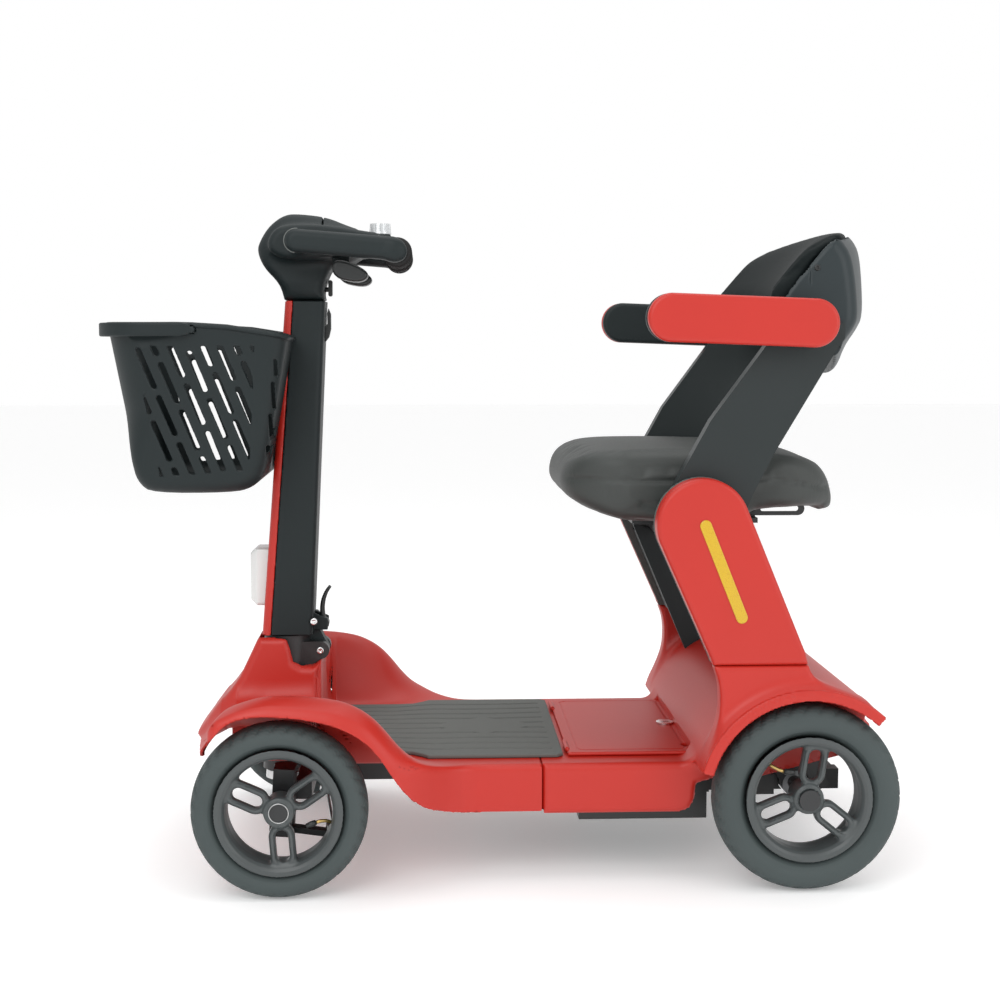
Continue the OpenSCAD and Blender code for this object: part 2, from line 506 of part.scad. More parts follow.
// ---------- seat ----------
module seat_cushion() color([0.16, 0.18, 0.18]) intersection() {
    prism([[282, 472], [270, 488], [238, 495], [150, seat_z], [0, 492], [-30, 482], [-48, 466], [-64, 444], [-58, 424], [-46, 424],
        [-34, 436], [50, 436], [60, 418.5], [200, 418.5], [232, 428], [268, 442], [280, 456]], -seat_hw, seat_hw);
    linear_extrude(700) polygon(concat(arc(202, seat_hw - 80, 80, 0, 90, 12), arc(16, seat_hw - 80, 80, 90, 180, 12),
        arc(16, -seat_hw + 80, 80, 180, 270, 12), arc(202, -seat_hw + 80, 80, 270, 360, 12)));
}
module seat_pan() color([0.10, 0.10, 0.11]) box([40, -120, 412], [190, 120, 418]);
module seat_loops() color([0.10, 0.10, 0.11]) both() difference() {
    union() {
        prism(bar(38, 427, -12, 427, 8), 98, 102);
        box([40, 98, 418.05], [52, 104, 424]);
    }
    prism(bar(30, 427, -10, 427, 3.2), 90, 110);
}
module seat_bracket() color([0.12, 0.12, 0.13]) union() {
    ycyl(118, 380, 12, -168, 168);
    box([100, -50, 384], [136, 50, 404]);
    box([50, -60, 404], [180, 60, 411.9]);
}
place() frame();
place() front_subframe();
place() front_shell();
place() rear_shell();
place() floor_mat();
place() battery_pack();
place() battery_tray();
place() transaxle();
place() drive_motor();
place() strut_frames();
place() strut_covers();
place() strut_inner_covers();
place() reflectors();
place() seat_bracket();
place() pivot_pins();
place() battery_hatch();
place() hatch_lock();
place() steering_shaft();
place() tiller_hinge_base();
place() knuckle_left();
place() knuckle_right();
place() tie_rod_left();
place() tie_rod_right();
place() tyre_front_left();
place() rim_front_left();
place() tyre_front_right();
place() rim_front_right();
place() tyre_rear_left();
place() rim_rear_left();
place() half_shaft_left();
place() tyre_rear_right();
place() rim_rear_right();
place() half_shaft_right();
place() tiller_post();
place() tiller_front_cover();
place() headlight();
place() console_housing();
place() handle_loop();
place() hand_grips();
place() bag_hook();
place() basket_bracket();
place() fold_lever();
place() throttle_paddle();
place() speed_dial();
place() horn_button();
place() ignition_key();
place() basket();
place() basket_handle();
place() backrest_frame();
place() backrest_shell();
place() backrest_pad();
place() shell_screws();
place() armrest_cover_left();
place() armrest_inner_left();
place() armrest_cover_right();
place() armrest_inner_right();
place() seat_cushion();
place() seat_pan();
place() seat_loops();
place() controller_box();
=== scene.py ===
import bpy
import json
import math
import numpy as np
from mathutils import Vector, Matrix


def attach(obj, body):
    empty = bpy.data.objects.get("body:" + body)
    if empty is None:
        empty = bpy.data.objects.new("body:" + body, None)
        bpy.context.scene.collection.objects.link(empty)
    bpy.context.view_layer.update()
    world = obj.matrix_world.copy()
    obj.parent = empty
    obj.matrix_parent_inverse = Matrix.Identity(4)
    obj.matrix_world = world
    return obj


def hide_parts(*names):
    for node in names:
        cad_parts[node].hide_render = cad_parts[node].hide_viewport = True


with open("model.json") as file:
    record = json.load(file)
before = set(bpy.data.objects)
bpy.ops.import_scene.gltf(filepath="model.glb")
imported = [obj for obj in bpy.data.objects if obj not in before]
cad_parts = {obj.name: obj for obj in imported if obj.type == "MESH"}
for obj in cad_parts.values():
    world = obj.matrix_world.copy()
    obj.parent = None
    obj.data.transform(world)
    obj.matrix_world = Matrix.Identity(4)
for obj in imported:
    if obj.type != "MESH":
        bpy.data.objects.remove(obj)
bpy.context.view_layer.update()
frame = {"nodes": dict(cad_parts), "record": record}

XM = 351.5                      # x of the row frame's origin, counted from the rear axle, in mm
S4 = math.radians(4)


# ---------------------------------------------------------------- signed distances, in mm from the rear axle
def poly(X, Z, pts):
    pts = np.asarray(pts, float)
    d = None
    ins = None
    for i in range(len(pts)):
        a, b = pts[i - 1], pts[i]
        e = b - a
        n = e @ e
        if n < 1e-9:
            continue
        wx, wz = X - a[0], Z - a[1]
        t = np.clip((wx * e[0] + wz * e[1]) / n, 0, 1)
        q = (wx - t * e[0]) ** 2 + (wz - t * e[1]) ** 2
        d = q if d is None else np.minimum(d, q)
        if a[1] != b[1]:
            c = ((a[1] <= Z) != (b[1] <= Z)) & (X < a[0] + (Z - a[1]) / e[1] * e[0])
            ins = c if ins is None else ins ^ c
    d = np.sqrt(d)
    return np.where(ins, -d, d)


def polyv(X, Z, w, p0, p1):
    """Like poly, for an outline that changes from p0 at w = 0 to p1 at w = 1."""
    p0, p1 = np.asarray(p0, float), np.asarray(p1, float)
    d = ins = None
    for i in range(len(p0)):
        ax, az = p0[i - 1][0] + (p1[i - 1][0] - p0[i - 1][0]) * w, p0[i - 1][1] + (p1[i - 1][1] - p0[i - 1][1]) * w
        ex, ez = p0[i][0] + (p1[i][0] - p0[i][0]) * w - ax, p0[i][1] + (p1[i][1] - p0[i][1]) * w - az
        wx, wz = X - ax, Z - az
        t = np.clip((wx * ex + wz * ez) / np.maximum(ex * ex + ez * ez, 1e-9), 0, 1)
        q = (wx - t * ex) ** 2 + (wz - t * ez) ** 2
        c = ((az <= Z) != (az + ez <= Z)) & (wx < wz / np.where(np.abs(ez) < 1e-9, 1e-9, ez) * ex)
        d = q if d is None else np.minimum(d, q)
        ins = c if ins is None else ins ^ c
    d = np.sqrt(d)
    return np.where(ins, -d, d)


def rmax(a, b, r):
    a, b = a + r, b + r
    return np.minimum(np.maximum(a, b), 0) + np.hypot(np.maximum(a, 0), np.maximum(b, 0)) - r


def smin(a, b, k):
    h = np.maximum(k - np.abs(a - b), 0)
    return np.minimum(a, b) - h * h / (4 * k)


def smax(a, b, k):
    return -smin(-a, -b, k)


def prism(X, Y, Z, pts, y0, y1, r=2.0):
    return rmax(poly(X, Z, pts), np.abs(Y - (y0 + y1) / 2) - (y1 - y0) / 2, r)


def stad(X, Z, x1, z1, x2, z2, r):
    ex, ez = x2 - x1, z2 - z1
    t = np.clip(((X - x1) * ex + (Z - z1) * ez) / (ex * ex + ez * ez), 0, 1)
    return np.hypot(X - x1 - t * ex, Z - z1 - t * ez) - r


def bx(X, Y, Z, lo, hi, r=1.0):
    q = [np.abs(v - (a + b) / 2) - (b - a) / 2 + r for v, a, b in zip((X, Y, Z), lo, hi)]
    m = np.maximum(np.maximum(q[0], q[1]), q[2])
    return np.minimum(m, 0) + np.sqrt(np.maximum(q[0], 0) ** 2 + np.maximum(q[1], 0) ** 2 + np.maximum(q[2], 0) ** 2) - r


def soft(pts, n=2, keep=()):
    """Chaikin corner cutting; the corners numbered in keep stay sharp."""
    pts = [tuple(p) + (i in keep,) for i, p in enumerate(pts)]
    for _ in range(n):
        out = []
        for i in range(len(pts)):
            a, b = pts[i], pts[(i + 1) % len(pts)]
            if a[2]:
                out.append(a)
            else:
                out.append((a[0] * .75 + b[0] * .25, a[1] * .75 + b[1] * .25, False))
            if not b[2]:
                out.append((a[0] * .25 + b[0] * .75, a[1] * .25 + b[1] * .75, False))
        pts = out
    return [(p[0], p[1]) for p in pts]


def arc(cx, cz, r, a0, a1, n=24):
    return [(cx + r * math.cos(math.radians(a0 + (a1 - a0) * i / n)), cz + r * math.sin(math.radians(a0 + (a1 - a0) * i / n))) for i in range(n + 1)]


def curve(x, xs, ys):
    """Interpolation with rounded corners (average over a small window)."""
    return sum(np.interp(x + o, xs, ys) for o in (-9, -4.5, 0, 4.5, 9)) / 5


def step(t):
    t = np.clip(t, 0, 1)
    return t * t * (3 - 2 * t)


# ---------------------------------------------------------------- surface nets with the vertices pulled onto the surface
def nets(f, lo, hi, h, sym=False):
    lo, hi = np.array(lo, float), np.array(hi, float)
    if sym:
        k = int(math.ceil(hi[1] / h))
        lo[1], hi[1] = -(k + .5) * h, (k + .5) * h
    n = np.ceil((hi - lo) / h - 1e-6).astype(int) + 1
    ax = [lo[i] + h * np.arange(n[i]) for i in range(3)]
    ya = ax[1][n[1] // 2:] if sym else ax[1]
    V = np.broadcast_to(f(ax[0][:, None, None], ya[None, :, None], ax[2][None, None, :]), (n[0], len(ya), n[2]))
    if sym:
        V = np.concatenate([V[:, ::-1][:, :n[1] - len(ya)], V], 1)
    V = V.copy()
    V[0], V[-1], V[:, 0], V[:, -1], V[:, :, 0], V[:, :, -1] = (np.maximum(v, 1e-3) for v in (V[0], V[-1], V[:, 0], V[:, -1], V[:, :, 0], V[:, :, -1]))
    m = n - 1
    cnt = np.zeros(m)
    acc = np.zeros((*m, 3))
    S = V < 0
    sl = lambda o: tuple(slice(o[i], o[i] + m[i]) for i in range(3))
    for a in range(3):
        b, c = [i for i in range(3) if i != a]
        for ob in (0, 1):
            for oc in (0, 1):
                o0 = [0, 0, 0]
                o0[b], o0[c] = ob, oc
                o1 = list(o0)
                o1[a] = 1
                A, B = V[sl(o0)], V[sl(o1)]
                cr = (A < 0) != (B < 0)
                t = np.where(cr, A / np.where(cr, A - B, 1), 0)
                cnt += cr
                for i in range(3):
                    acc[..., i] += cr * (o0[i] + (t if i == a else 0))
    act = cnt > 0
    idx = -np.ones(m, int)
    idx[act] = np.arange(act.sum())
    verts = lo + h * (np.argwhere(act) + acc[act] / cnt[act][:, None])
    quads = []
    for a in range(3):
        b, c = (a + 1) % 3, (a + 2) % 3
        A = S[tuple(slice(0, n[i] - 1) if i == a else slice(1, n[i] - 1) for i in range(3))]
        B = S[tuple(slice(1, n[i]) if i == a else slice(1, n[i] - 1) for i in range(3))]
        e = np.argwhere(A != B)
        ins = A[A != B]
        g = e.copy()
        g[:, b] += 1
        g[:, c] += 1

        def cell(db, dc):
            q = g.copy()
            q[:, b] -= db
            q[:, c] -= dc
            return idx[q[:, 0], q[:, 1], q[:, 2]]
        q = np.stack([cell(1, 1), cell(0, 1), cell(0, 0), cell(1, 0)], 1)
        q[~ins] = q[~ins][:, ::-1]
        quads.append(q)
    return verts, np.concatenate(quads)


def grad(f, v, e):
    g = np.zeros_like(v)
    for i in range(3):
        p, q = v.copy(), v.copy()
        p[:, i] += e
        q[:, i] -= e
        g[:, i] = f(p[:, 0], p[:, 1], p[:, 2]) - f(q[:, 0], q[:, 1], q[:, 2])
    return g / (2 * e)


def solid(f, lo, hi, h=3.0, sym=False):
    """(vertices, faces, normals) of the surface f = 0; f takes x, y, z that broadcast. With sym, f is only asked for y >= 0."""
    ff = (lambda x, y, z: f(x, np.abs(y), z)) if sym else f
    v, q = nets(ff, lo, hi, h, sym)
    for _ in range(3):
        g = grad(ff, v, .25)
        d = ff(v[:, 0], v[:, 1], v[:, 2])
        n2 = np.maximum((g * g).sum(1), .2)
        s = np.clip(d / n2, -.6 * h, .6 * h)
        v = v - g * s[:, None] * .9
    g = grad(ff, v, .7)
    n = g / np.maximum(np.linalg.norm(g, axis=1, keepdims=True), 1e-6)
    return v, q, n


def mirror(t):
    v, q, n = t
    k = np.array([1, -1, 1.0])
    return v * k, q[:, ::-1], (n * k if n is not None else None)


def add(name, t, mat, body, nodes=(), sharp=False):
    v, q, n = t
    v = np.array(v, float)
    co = (v - np.array([XM, 0, 0])) / 1000
    me = bpy.data.meshes.new(name)
    q = np.asarray(q)
    me.vertices.add(len(co))
    me.vertices.foreach_set("co", co.astype(np.float32).ravel())
    k = q.shape[1]
    me.loops.add(q.size)
    me.loops.foreach_set("vertex_index", q.astype(np.int32).ravel())
    me.polygons.add(len(q))
    me.polygons.foreach_set("loop_start", (np.arange(len(q)) * k).astype(np.int32))
    me.update(calc_edges=True)
    me.validate()
    me.polygons.foreach_set("use_smooth", [True] * len(me.polygons))
    if n is not None and len(n) == len(me.vertices):
        me.normals_split_custom_set_from_vertices([tuple(x) for x in n])
    me.materials.append(mat)
    o = bpy.data.objects.new(name, me)
    bpy.context.scene.collection.objects.link(o)
    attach(o, body)
    if nodes:
        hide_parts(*nodes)
    return o


# ---------------------------------------------------------------- sweeps and lathes
def tube(points, r, n=12, caps=True):
    P = np.asarray(points, float)
    rr = np.broadcast_to(np.asarray(r, float), (len(P),))
    T = np.gradient(P, axis=0)
    T /= np.linalg.norm(T, axis=1, keepdims=True)
    u = np.cross(T[0], [0.3, 0.9, 0.2])
    u /= np.linalg.norm(u)
    V, N = [], []
    for i in range(len(P)):
        u = u - T[i] * (u @ T[i])
        u /= np.linalg.norm(u)
        w = np.cross(T[i], u)
        for k in range(n):
            a = 2 * math.pi * k / n
            d = math.cos(a) * u + math.sin(a) * w
            V.append(P[i] + rr[i] * d)
    F = []
    for i in range(len(P) - 1):
        for k in range(n):
            a, b = i * n + k, i * n + (k + 1) % n
            F.append((a, b, b + n, a + n))
    m = len(V)
    V.append(P[0])
    V.append(P[-1])
    e = (len(P) - 1) * n
    for k in range(0, n):
        F.append((m, (k + 1) % n, k, k))
        F.append((m + 1, e + k, e + (k + 1) % n, e + (k + 1) % n))
    return np.array(V), F


def add_tube(name, points, r, mat, body, nodes=(), n=12):
    V, F = tube(points, r, n)
    me = bpy.data.meshes.new(name)
    me.from_pydata([tuple((p - np.array([XM, 0, 0])) / 1000) for p in V], [], [tuple(dict.fromkeys(f)) for f in F])
    me.polygons.foreach_set("use_smooth", [True] * len(me.polygons))
    me.materials.append(mat)
    o = bpy.data.objects.new(name, me)
    bpy.context.scene.collection.objects.link(o)
    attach(o, body)
    if nodes:
        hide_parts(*nodes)
    return o


def lathe(cx, cz, prof, y0, sign=1, n=96, disp=None):
    """Ring of (radius, y) points turned about an axle at (cx, cz) that lies along Y."""
    prof = np.asarray(prof, float)
    m = len(prof)
    a = 2 * math.pi * np.arange(n) / n
    R = np.broadcast_to(prof[:, 0], (n, m)).copy()
    Yv = np.broadcast_to(prof[:, 1], (n, m)).copy()
    if disp is not None:
        R = R + disp(a[:, None], prof[None, :, 0], prof[None, :, 1])
    V = np.stack([cx + R * np.cos(a)[:, None], sign * (y0 + Yv), cz + R * np.sin(a)[:, None]], -1).reshape(-1, 3)
    F = []
    for i in range(n):
        for k in range(m):
            p = (i * m + k, i * m + (k + 1) % m, ((i + 1) % n) * m + (k + 1) % m, ((i + 1) % n) * m + k)
            F.append(p if sign > 0 else p[::-1])
    return V, np.array(F), None


# ---------------------------------------------------------------- materials
def material(name, colour, rough=.5, metal=0., grain=1200., bump=.12, vary=.10, wear=.12, spec=.5, coat=0., emit=0., sss=0., fleck=None, weave=0.):
    m = bpy.data.materials.new(name)
    m.use_nodes = True
    nt = m.node_tree
    N, L = nt.nodes, nt.links
    b = N["Principled BSDF"]
    tc = N.new("ShaderNodeTexCoord")
    big = N.new("ShaderNodeTexNoise")
    big.inputs["Scale"].default_value = 7
    big.inputs["Detail"].default_value = 4
    L.new(tc.outputs["Object"], big.inputs["Vector"])
    fine = N.new("ShaderNodeTexNoise")
    fine.inputs["Scale"].default_value = grain
    fine.inputs["Detail"].default_value = 3
    L.new(tc.outputs["Object"], fine.inputs["Vector"])
    ramp = N.new("ShaderNodeMixRGB")
    c = np.array(colour, float)
    ramp.inputs[1].default_value = (*np.clip(c * (1 - vary), 0, 1), 1)
    ramp.inputs[2].default_value = (*np.clip(c * (1 + vary), 0, 1), 1)
    L.new(big.outputs["Fac"], ramp.inputs[0])
    geo = N.new("ShaderNodeNewGeometry")
    edge = N.new("ShaderNodeMapRange")
    edge.inputs["From Min"].default_value = .53
    edge.inputs["From Max"].default_value = .66
    edge.inputs["To Max"].default_value = wear
    L.new(geo.outputs["Pointiness"], edge.inputs["Value"])
    mix = N.new("ShaderNodeMixRGB")
    mix.inputs[2].default_value = (*np.clip(c * 1.6 + .04, 0, 1), 1)
    L.new(edge.outputs["Result"], mix.inputs[0])
    L.new(ramp.outputs[0], mix.inputs[1])
    out = mix
    if fleck is not None:
        vo = N.new("ShaderNodeTexVoronoi")
        vo.feature = "DISTANCE_TO_EDGE"
        vo.inputs["Scale"].default_value = fleck[0]
        L.new(tc.outputs["Object"], vo.inputs["Vector"])
        mr = N.new("ShaderNodeMapRange")
        mr.inputs["From Max"].default_value = .08
        L.new(vo.outputs["Distance"], mr.inputs["Value"])
        fm = N.new("ShaderNodeMixRGB")
        fm.inputs[1].default_value = (*fleck[1], 1)
        L.new(mr.outputs["Result"], fm.inputs[0])
        L.new(mix.outputs[0], fm.inputs[2])
        out = fm
    L.new(out.outputs[0], b.inputs["Base Color"])
    rr = N.new("ShaderNodeMapRange")
    rr.inputs["To Min"].default_value = max(rough - .07, .03)
    rr.inputs["To Max"].default_value = min(rough + .07, 1)
    L.new(fine.outputs["Fac"], rr.inputs["Value"])
    L.new(rr.outputs["Result"], b.inputs["Roughness"])
    bn = N.new("ShaderNodeBump")
    bn.inputs["Strength"].default_value = bump
    bn.inputs["Distance"].default_value = .0004
    L.new(fine.outputs["Fac"], bn.inputs["Height"])
    L.new(bn.outputs["Normal"], b.inputs["Normal"])
    b.inputs["Metallic"].default_value = metal
    for k, v in (("Specular IOR Level", spec), ("Coat Weight", coat), ("Emission Strength", emit)):
        if k in b.inputs:
            b.inputs[k].default_value = v
    if emit and "Emission Color" in b.inputs:
        b.inputs["Emission Color"].default_value = (1, 1, 1, 1)
    return m


RED = material("red_plastic", (.48, .017, .0085), .42, bump=.10, vary=.06, wear=.18, grain=1500)
DARK = material("dark_plastic", (.0115, .0175, .0185), .50, bump=.22, vary=.12, wear=.25, grain=1400, spec=.27)
ARM = material("satin_paint", (.0145, .020, .0205), .42, bump=.08, vary=.10, wear=.25, grain=1800, spec=.31)
BLACK = material("black_plastic", (.010, .012, .012), .38, bump=.14, vary=.15, wear=.3, grain=1400)
SHELLP = material("seat_shell", (.019, .028, .031), .40, bump=.10, vary=.12, wear=.2, grain=1500, spec=.35)
TYRE = material("tyre_rubber", (.054, .069, .069), .62, bump=.4, vary=.18, wear=.2, grain=900, spec=.35)
RIMM = material("rim_black", (.058, .067, .068), .38, bump=.06, vary=.12, wear=.35, grain=1600)
MAT = material("mat_rubber", (.122, .127, .119), .72, bump=.45, vary=.10, wear=.25, grain=1300, spec=.3)
GRIP = material("grip_rubber", (.016, .016, .016), .68, bump=.4, vary=.15, wear=.2, grain=1000, spec=.3)
VINYL = material("upholstery", (.038, .043, .0405), .54, bump=.5, vary=.10, wear=.15, grain=700, spec=.45)
PADM = material("pad_vinyl", (.0065, .0100, .0105), .55, bump=.45, vary=.12, wear=.12, grain=700, spec=.08)
STEEL = material("bare_steel", (.50, .50, .50), .30, metal=1, bump=.05, vary=.10, wear=.3, grain=900)
CHROME = material("bright_metal", (.80, .80, .80), .18, metal=1, bump=.03, vary=.06, wear=.2, grain=900)
BRASS = material("brass", (.55, .38, .14), .33, metal=1, bump=.08, vary=.15, wear=.2, grain=900)
CAST = material("cast_alloy", (.33, .34, .35), .52, metal=.8, bump=.35, vary=.12, wear=.25, grain=500)
PAINT = material("dark_paint", (.016, .017, .018), .42, bump=.18, vary=.15, wear=.3, grain=700)
LENS = material("lens_white", (.70, .71, .70), .25, bump=.05, vary=.03, wear=.05, grain=1200, coat=.3)
REFL = material("reflector_film", (.60, .385, .0), .30, bump=.2, vary=.06, wear=.05, grain=900, coat=.5, fleck=(520, (.50, .25, .0)))
SEAM = material("pale_seam", (.12, .13, .125), .5, bump=.1, vary=.1, wear=.1, grain=900)
GREYE = material("grey_edge", (.085, .09, .085), .5, bump=.1, vary=.1, wear=.2, grain=1200)
DIAL = material("dial_silver", (.72, .74, .75), .28, metal=.35, bump=.06, vary=.05, wear=.1, grain=1200, coat=.3)
BUTTON = material("button_red", (.55, .06, .03), .4, bump=.08, vary=.06, wear=.1, grain=1200)
CELL = material("battery_case", (.02, .024, .028), .5, bump=.3, vary=.12, wear=.25, grain=900)
SLOTS = dict(red_plastic=RED, dark_plastic=DARK, black_plastic=BLACK, grey_rubber=MAT, grip_rubber=GRIP, tyre=TYRE, rim=RIMM,
             black_steel=PAINT, dark_paint=ARM, bare_steel=STEEL, cast_alloy=CAST, chrome=CHROME, lens=LENS, reflector=REFL,
             upholstery=VINYL, dial=DIAL, button=BUTTON, drive=CELL)

# every CAD node that stays gets a procedural material and softened edges
for node, o in frame["nodes"].items():
    want = None
    for s in frame["record"].get("subparts", []):
        if s.get("node") == node:
            want = s.get("material_slot")
    o.data.materials.clear()
    o.data.materials.append(PAINT if node.startswith("half_shaft") else SLOTS.get(want, BLACK))
    bev = o.modifiers.new("bevel", "BEVEL")
    bev.width = .0012
    bev.segments = 2
    bev.limit_method = "ANGLE"
    bev.angle_limit = math.radians(35)
    bev.harden_normals = False


# ---------------------------------------------------------------- front shell
def Cx(x):
    return curve(x, [380, 392, 404, 428, 449, 466, 484, 502, 526, 552, 585, 615, 640, 656, 668, 680, 690], [138, 138.5, 140, 144, 153, 168, 192, 209, 221, 226, 228.5, 228.5, 222, 216, 209, 203, 196])


def Lx(x):
    return curve(x, [380, 400, 414, 436, 458, 478, 501, 534, 573, 615, 640, 655, 672, 690], [118, 112, 112, 118, 134, 162, 189, 208, 215, 219, 216, 211, 203, 193])


def Wx(x):
    return curve(x, [370, 385, 400, 420, 440, 460, 480, 500], [180, 182, 189, 204, 221, 235, 242, 243])


def Bx(x):
    return curve(x, [380, 398, 412, 436, 458, 475, 492, 514, 541, 574, 613, 635, 657, 671, 678, 684], [82, 84, 88, 97, 117, 144, 171, 189, 201, 208, 211, 210, 203, 189, 177, 170])


def Kx(x):
    return np.interp(x, [300, 556, 561, 565, 569, 580, 606, 632, 648, 665, 684, 702, 714], [138, 138, 150, 172, 183, 184, 183, 182, 184, 182, 172, 155, 147])


def top(x, a):
    C, L, K = Cx(x), Lx(x), Kx(x)
    up = K + (np.maximum(C, K) - K) * step((a - 144) / 68)
    q = np.clip((a - 212) / 31, 0, 1)
    return up - (np.maximum(C, K) - L) * q * q


def front(x, a, z):
    t = top(x, a)
    gx = (top(x + 1, a) - top(x - 1, a)) / 2
    ga = (top(x, a + 1) - top(x, a - 1)) / 2
    d = (z - t) / np.sqrt(1 + gx * gx + ga * ga)
    O = rmax(d, (a - Wx(x)) / 1.12, 7)
    # rounded front of the apron
    xf = 714 - 34 * (a / 240) ** 1.6 - np.maximum(z - 150, 0) * np.interp(a, [60, 150, 205, 235], [.62, .5, .35, .08])
    O = rmax(O, (x - xf) / 1.1, 9)
    return O


def front_shell(x, a, z):
    O = front(x, a, z)
    cav = front(x, a, z + 0) + 5
    cav = np.minimum(np.maximum(cav, 290 - x), np.maximum(front(x, a, np.maximum(z, 0)) + 5, -1e3))
    # collar round the post
    side = poly(x, z, COLLAR)
    wide = 41 + np.maximum(262 - z, 0) * .05
    col = rmax(side, a - wide, 9)
    O = smin(O, col, 30)
    body = np.maximum(O, -(cav))
    low = np.where((a < 205) & (x > 452), np.minimum(Bx(x), top(x, a) - 6.5), Bx(x))
    low = np.where(a < 150, np.where(x > 560, np.interp(x, [560, 640, 714], [133, 140, 146]), np.where(x > 452, 133, np.where(x > 404, 82 + (x - 404) * 51 / 48, 82))), low)
    body = np.maximum(body, (low - z) / 1.2)
    # well wall between deck and wing, closing wall in front of the tub
    wall = np.maximum(np.maximum(np.abs(a - 132) - 2.6, z - top(x, a) + 2.5), np.maximum(134 - z, np.maximum(438 - x, x - 662)))
    tub = np.maximum(np.maximum(poly(x, z, [(402, 82), (408, 82), (462, 133.5), (462, 137), (452, 137)]), a - 176), -1e3)
    deck = np.maximum(np.maximum(np.abs(z - 135.4) - 2.6, a - 134), np.maximum(440 - x, x - 560))
    body = np.minimum(np.minimum(body, wall), np.minimum(tub, deck))
    # opening for the column and its hinge
    u = (x - 623.9) * math.cos(S4) + z * math.sin(S4)
    hole = np.maximum(np.hypot(u, a) - 36.2, 140 - z)
    pocket = np.maximum(poly(x, z, POCKET), a - 33)
    body = smax(body, -np.minimum(hole, pocket), 2.5)
    return np.maximum(body, 300.3 - x)


COLLAR = [(640, 264.2), (604, 264.2), (600, 250), (597, 234), (588, 228.5), (575, 227.5), (566, 231), (565.5, 200), (565.5, 130), (640, 130), (706, 148), (698, 164),
          (688, 180), (674, 199), (663, 216), (650, 243)]
POCKET = soft([(606, 290), (599, 236), (590, 229), (578, 222), (571, 200), (571, 150), (640, 150), (640, 290)], 1, keep=(0, 5, 6, 7))

add("front_shell_body", solid(front_shell, (294, 0, 74), (724, 250, 276), 2.5, True), RED, "chassis", ["front_shell"])


# ---------------------------------------------------------------- rear shell
DECKR = [(299.8, 78), (138, 78), (127, 82), (121, 92), (118, 112), (60, 128), (-84, 158), (-85, 180), (-62, 196), (-4, 190), (42, 170), (96, 138), (299.8, 138)]
DECKC = [(330, 20), (-84, 20), (-84, 178), (-62, 196), (-4, 190), (42, 170), (96, 138), (330, 138)]
KEEP = [(150, 146), (118, 140), (60, 118), (-60, 150), (-74, 190), (-98, 216), (-60, 300), (150, 300)]
FOOT = soft([(108, 150), (103, 200), (101.5, 226), (104, 246), (110, 261.7), (2, 261.7), (-4, 248), (-22, 233), (-60, 216), (-60, 170)], 2, keep=(0, 4, 5, 8, 9))


def rear_shell(x, a, z):
    dk = rmax(poly(x, z, DECKR), a - 180, 8)
    dk = np.maximum(dk, x - 299.7)
    r = np.hypot(x, z - 108)
    fen = np.maximum(rmax(r - 127.5, a - 243, 7), poly(x, z, KEEP))
    foot = rmax(poly(x, z, FOOT), np.abs(a - 219) - 13, 5)
    side = np.maximum(poly(x, z, KEEP) + 3, np.maximum(r - 124, np.abs(a - 181.5) - 3))
    O = smin(smin(dk, fen, 16), foot, 18)
    well = np.maximum(np.maximum(r - 122.3, 184 - a), a - 300)
    lip = np.maximum(np.maximum(rmax(r - 127.5, np.abs(a - 241.2) - 1.8, 1.5), 114.5 - r), poly(x, z, KEEP))
    cav = np.maximum(np.maximum(poly(x, z, DECKC) + 5, a - 175), 0 * a - 1e3)
    inner = np.maximum(np.maximum(r - 122.3, a - 179), poly(x, z, KEEP) + 1)
    b = np.maximum(O, -np.minimum(cav, inner))
    b = np.maximum(b, -np.maximum(well, -(lip)))
    b = np.minimum(b, np.minimum(lip, side))
    hatch = np.maximum(np.maximum(120 - x, x - 259), np.maximum(a - 137, 118 - z))
    axle = np.maximum(r - 22, np.abs(a - 175) - 15)
    slot = np.maximum(poly(x, z, [(40, 100), (67, 168), (80, 206), (-44, 206), (-66, 150)]), np.abs(a - 169) - 5.2)
    b = np.maximum(b, -np.minimum(np.minimum(hatch, axle), slot))
    lap = np.minimum(np.maximum(np.abs(a - 172.3) - 2.5, np.abs(z - 108) - 25), np.maximum(np.abs(z - 130) - 2.5, a - 172))
    return np.minimum(b, np.maximum(lap, np.abs(x - 299) - 7))


add("rear_shell_body", solid(rear_shell, (-108, 0, 72), (310, 250, 268), 2.5, True), RED, "chassis", ["rear_shell"])

# ---------------------------------------------------------------- strut covers, grey edge, reflectors
STRUT = arc(123, 421, 52.8, -23, 157, 40) + [(11.9, 291.2), (5.5, 276), (2, 262), (110.2, 262), (112.7, 269.3)]
for s, side in ((1, "left"), (-1, "right")):
    f = lambda x, y, z: np.maximum(rmax(poly(x, z, STRUT), np.abs(y - 219) - 13, 5.5), 261.8 - z)
    t = solid(f, (-6, 202, 258), (182, 236, 480), 2.5)
    add("strut_cover_" + side, t if s > 0 else mirror(t), RED, "chassis", ["strut_covers"] if s > 0 else [])
    f = lambda x, y, z: np.maximum(rmax(poly(x, z, STRUT) - .4, np.abs(y - 204.6) - 1.2, .6), 261.8 - z)
    t = solid(f, (-6, 200, 258), (182, 209, 480), 1.5)
    add("strut_edge_" + side, t if s > 0 else mirror(t), GREYE, "chassis")
    f = lambda x, y, z: rmax(stad(x, z, 121.3, 421, 79.3, 317, 6.6), np.abs(y - 232.2) - 1.3, .9)
    t = solid(f, (65, 229, 302), (135, 236, 436), 1.0)
    add("reflector_strip_" + side, t if s > 0 else mirror(t), REFL, "chassis", ["reflectors"] if s > 0 else [])

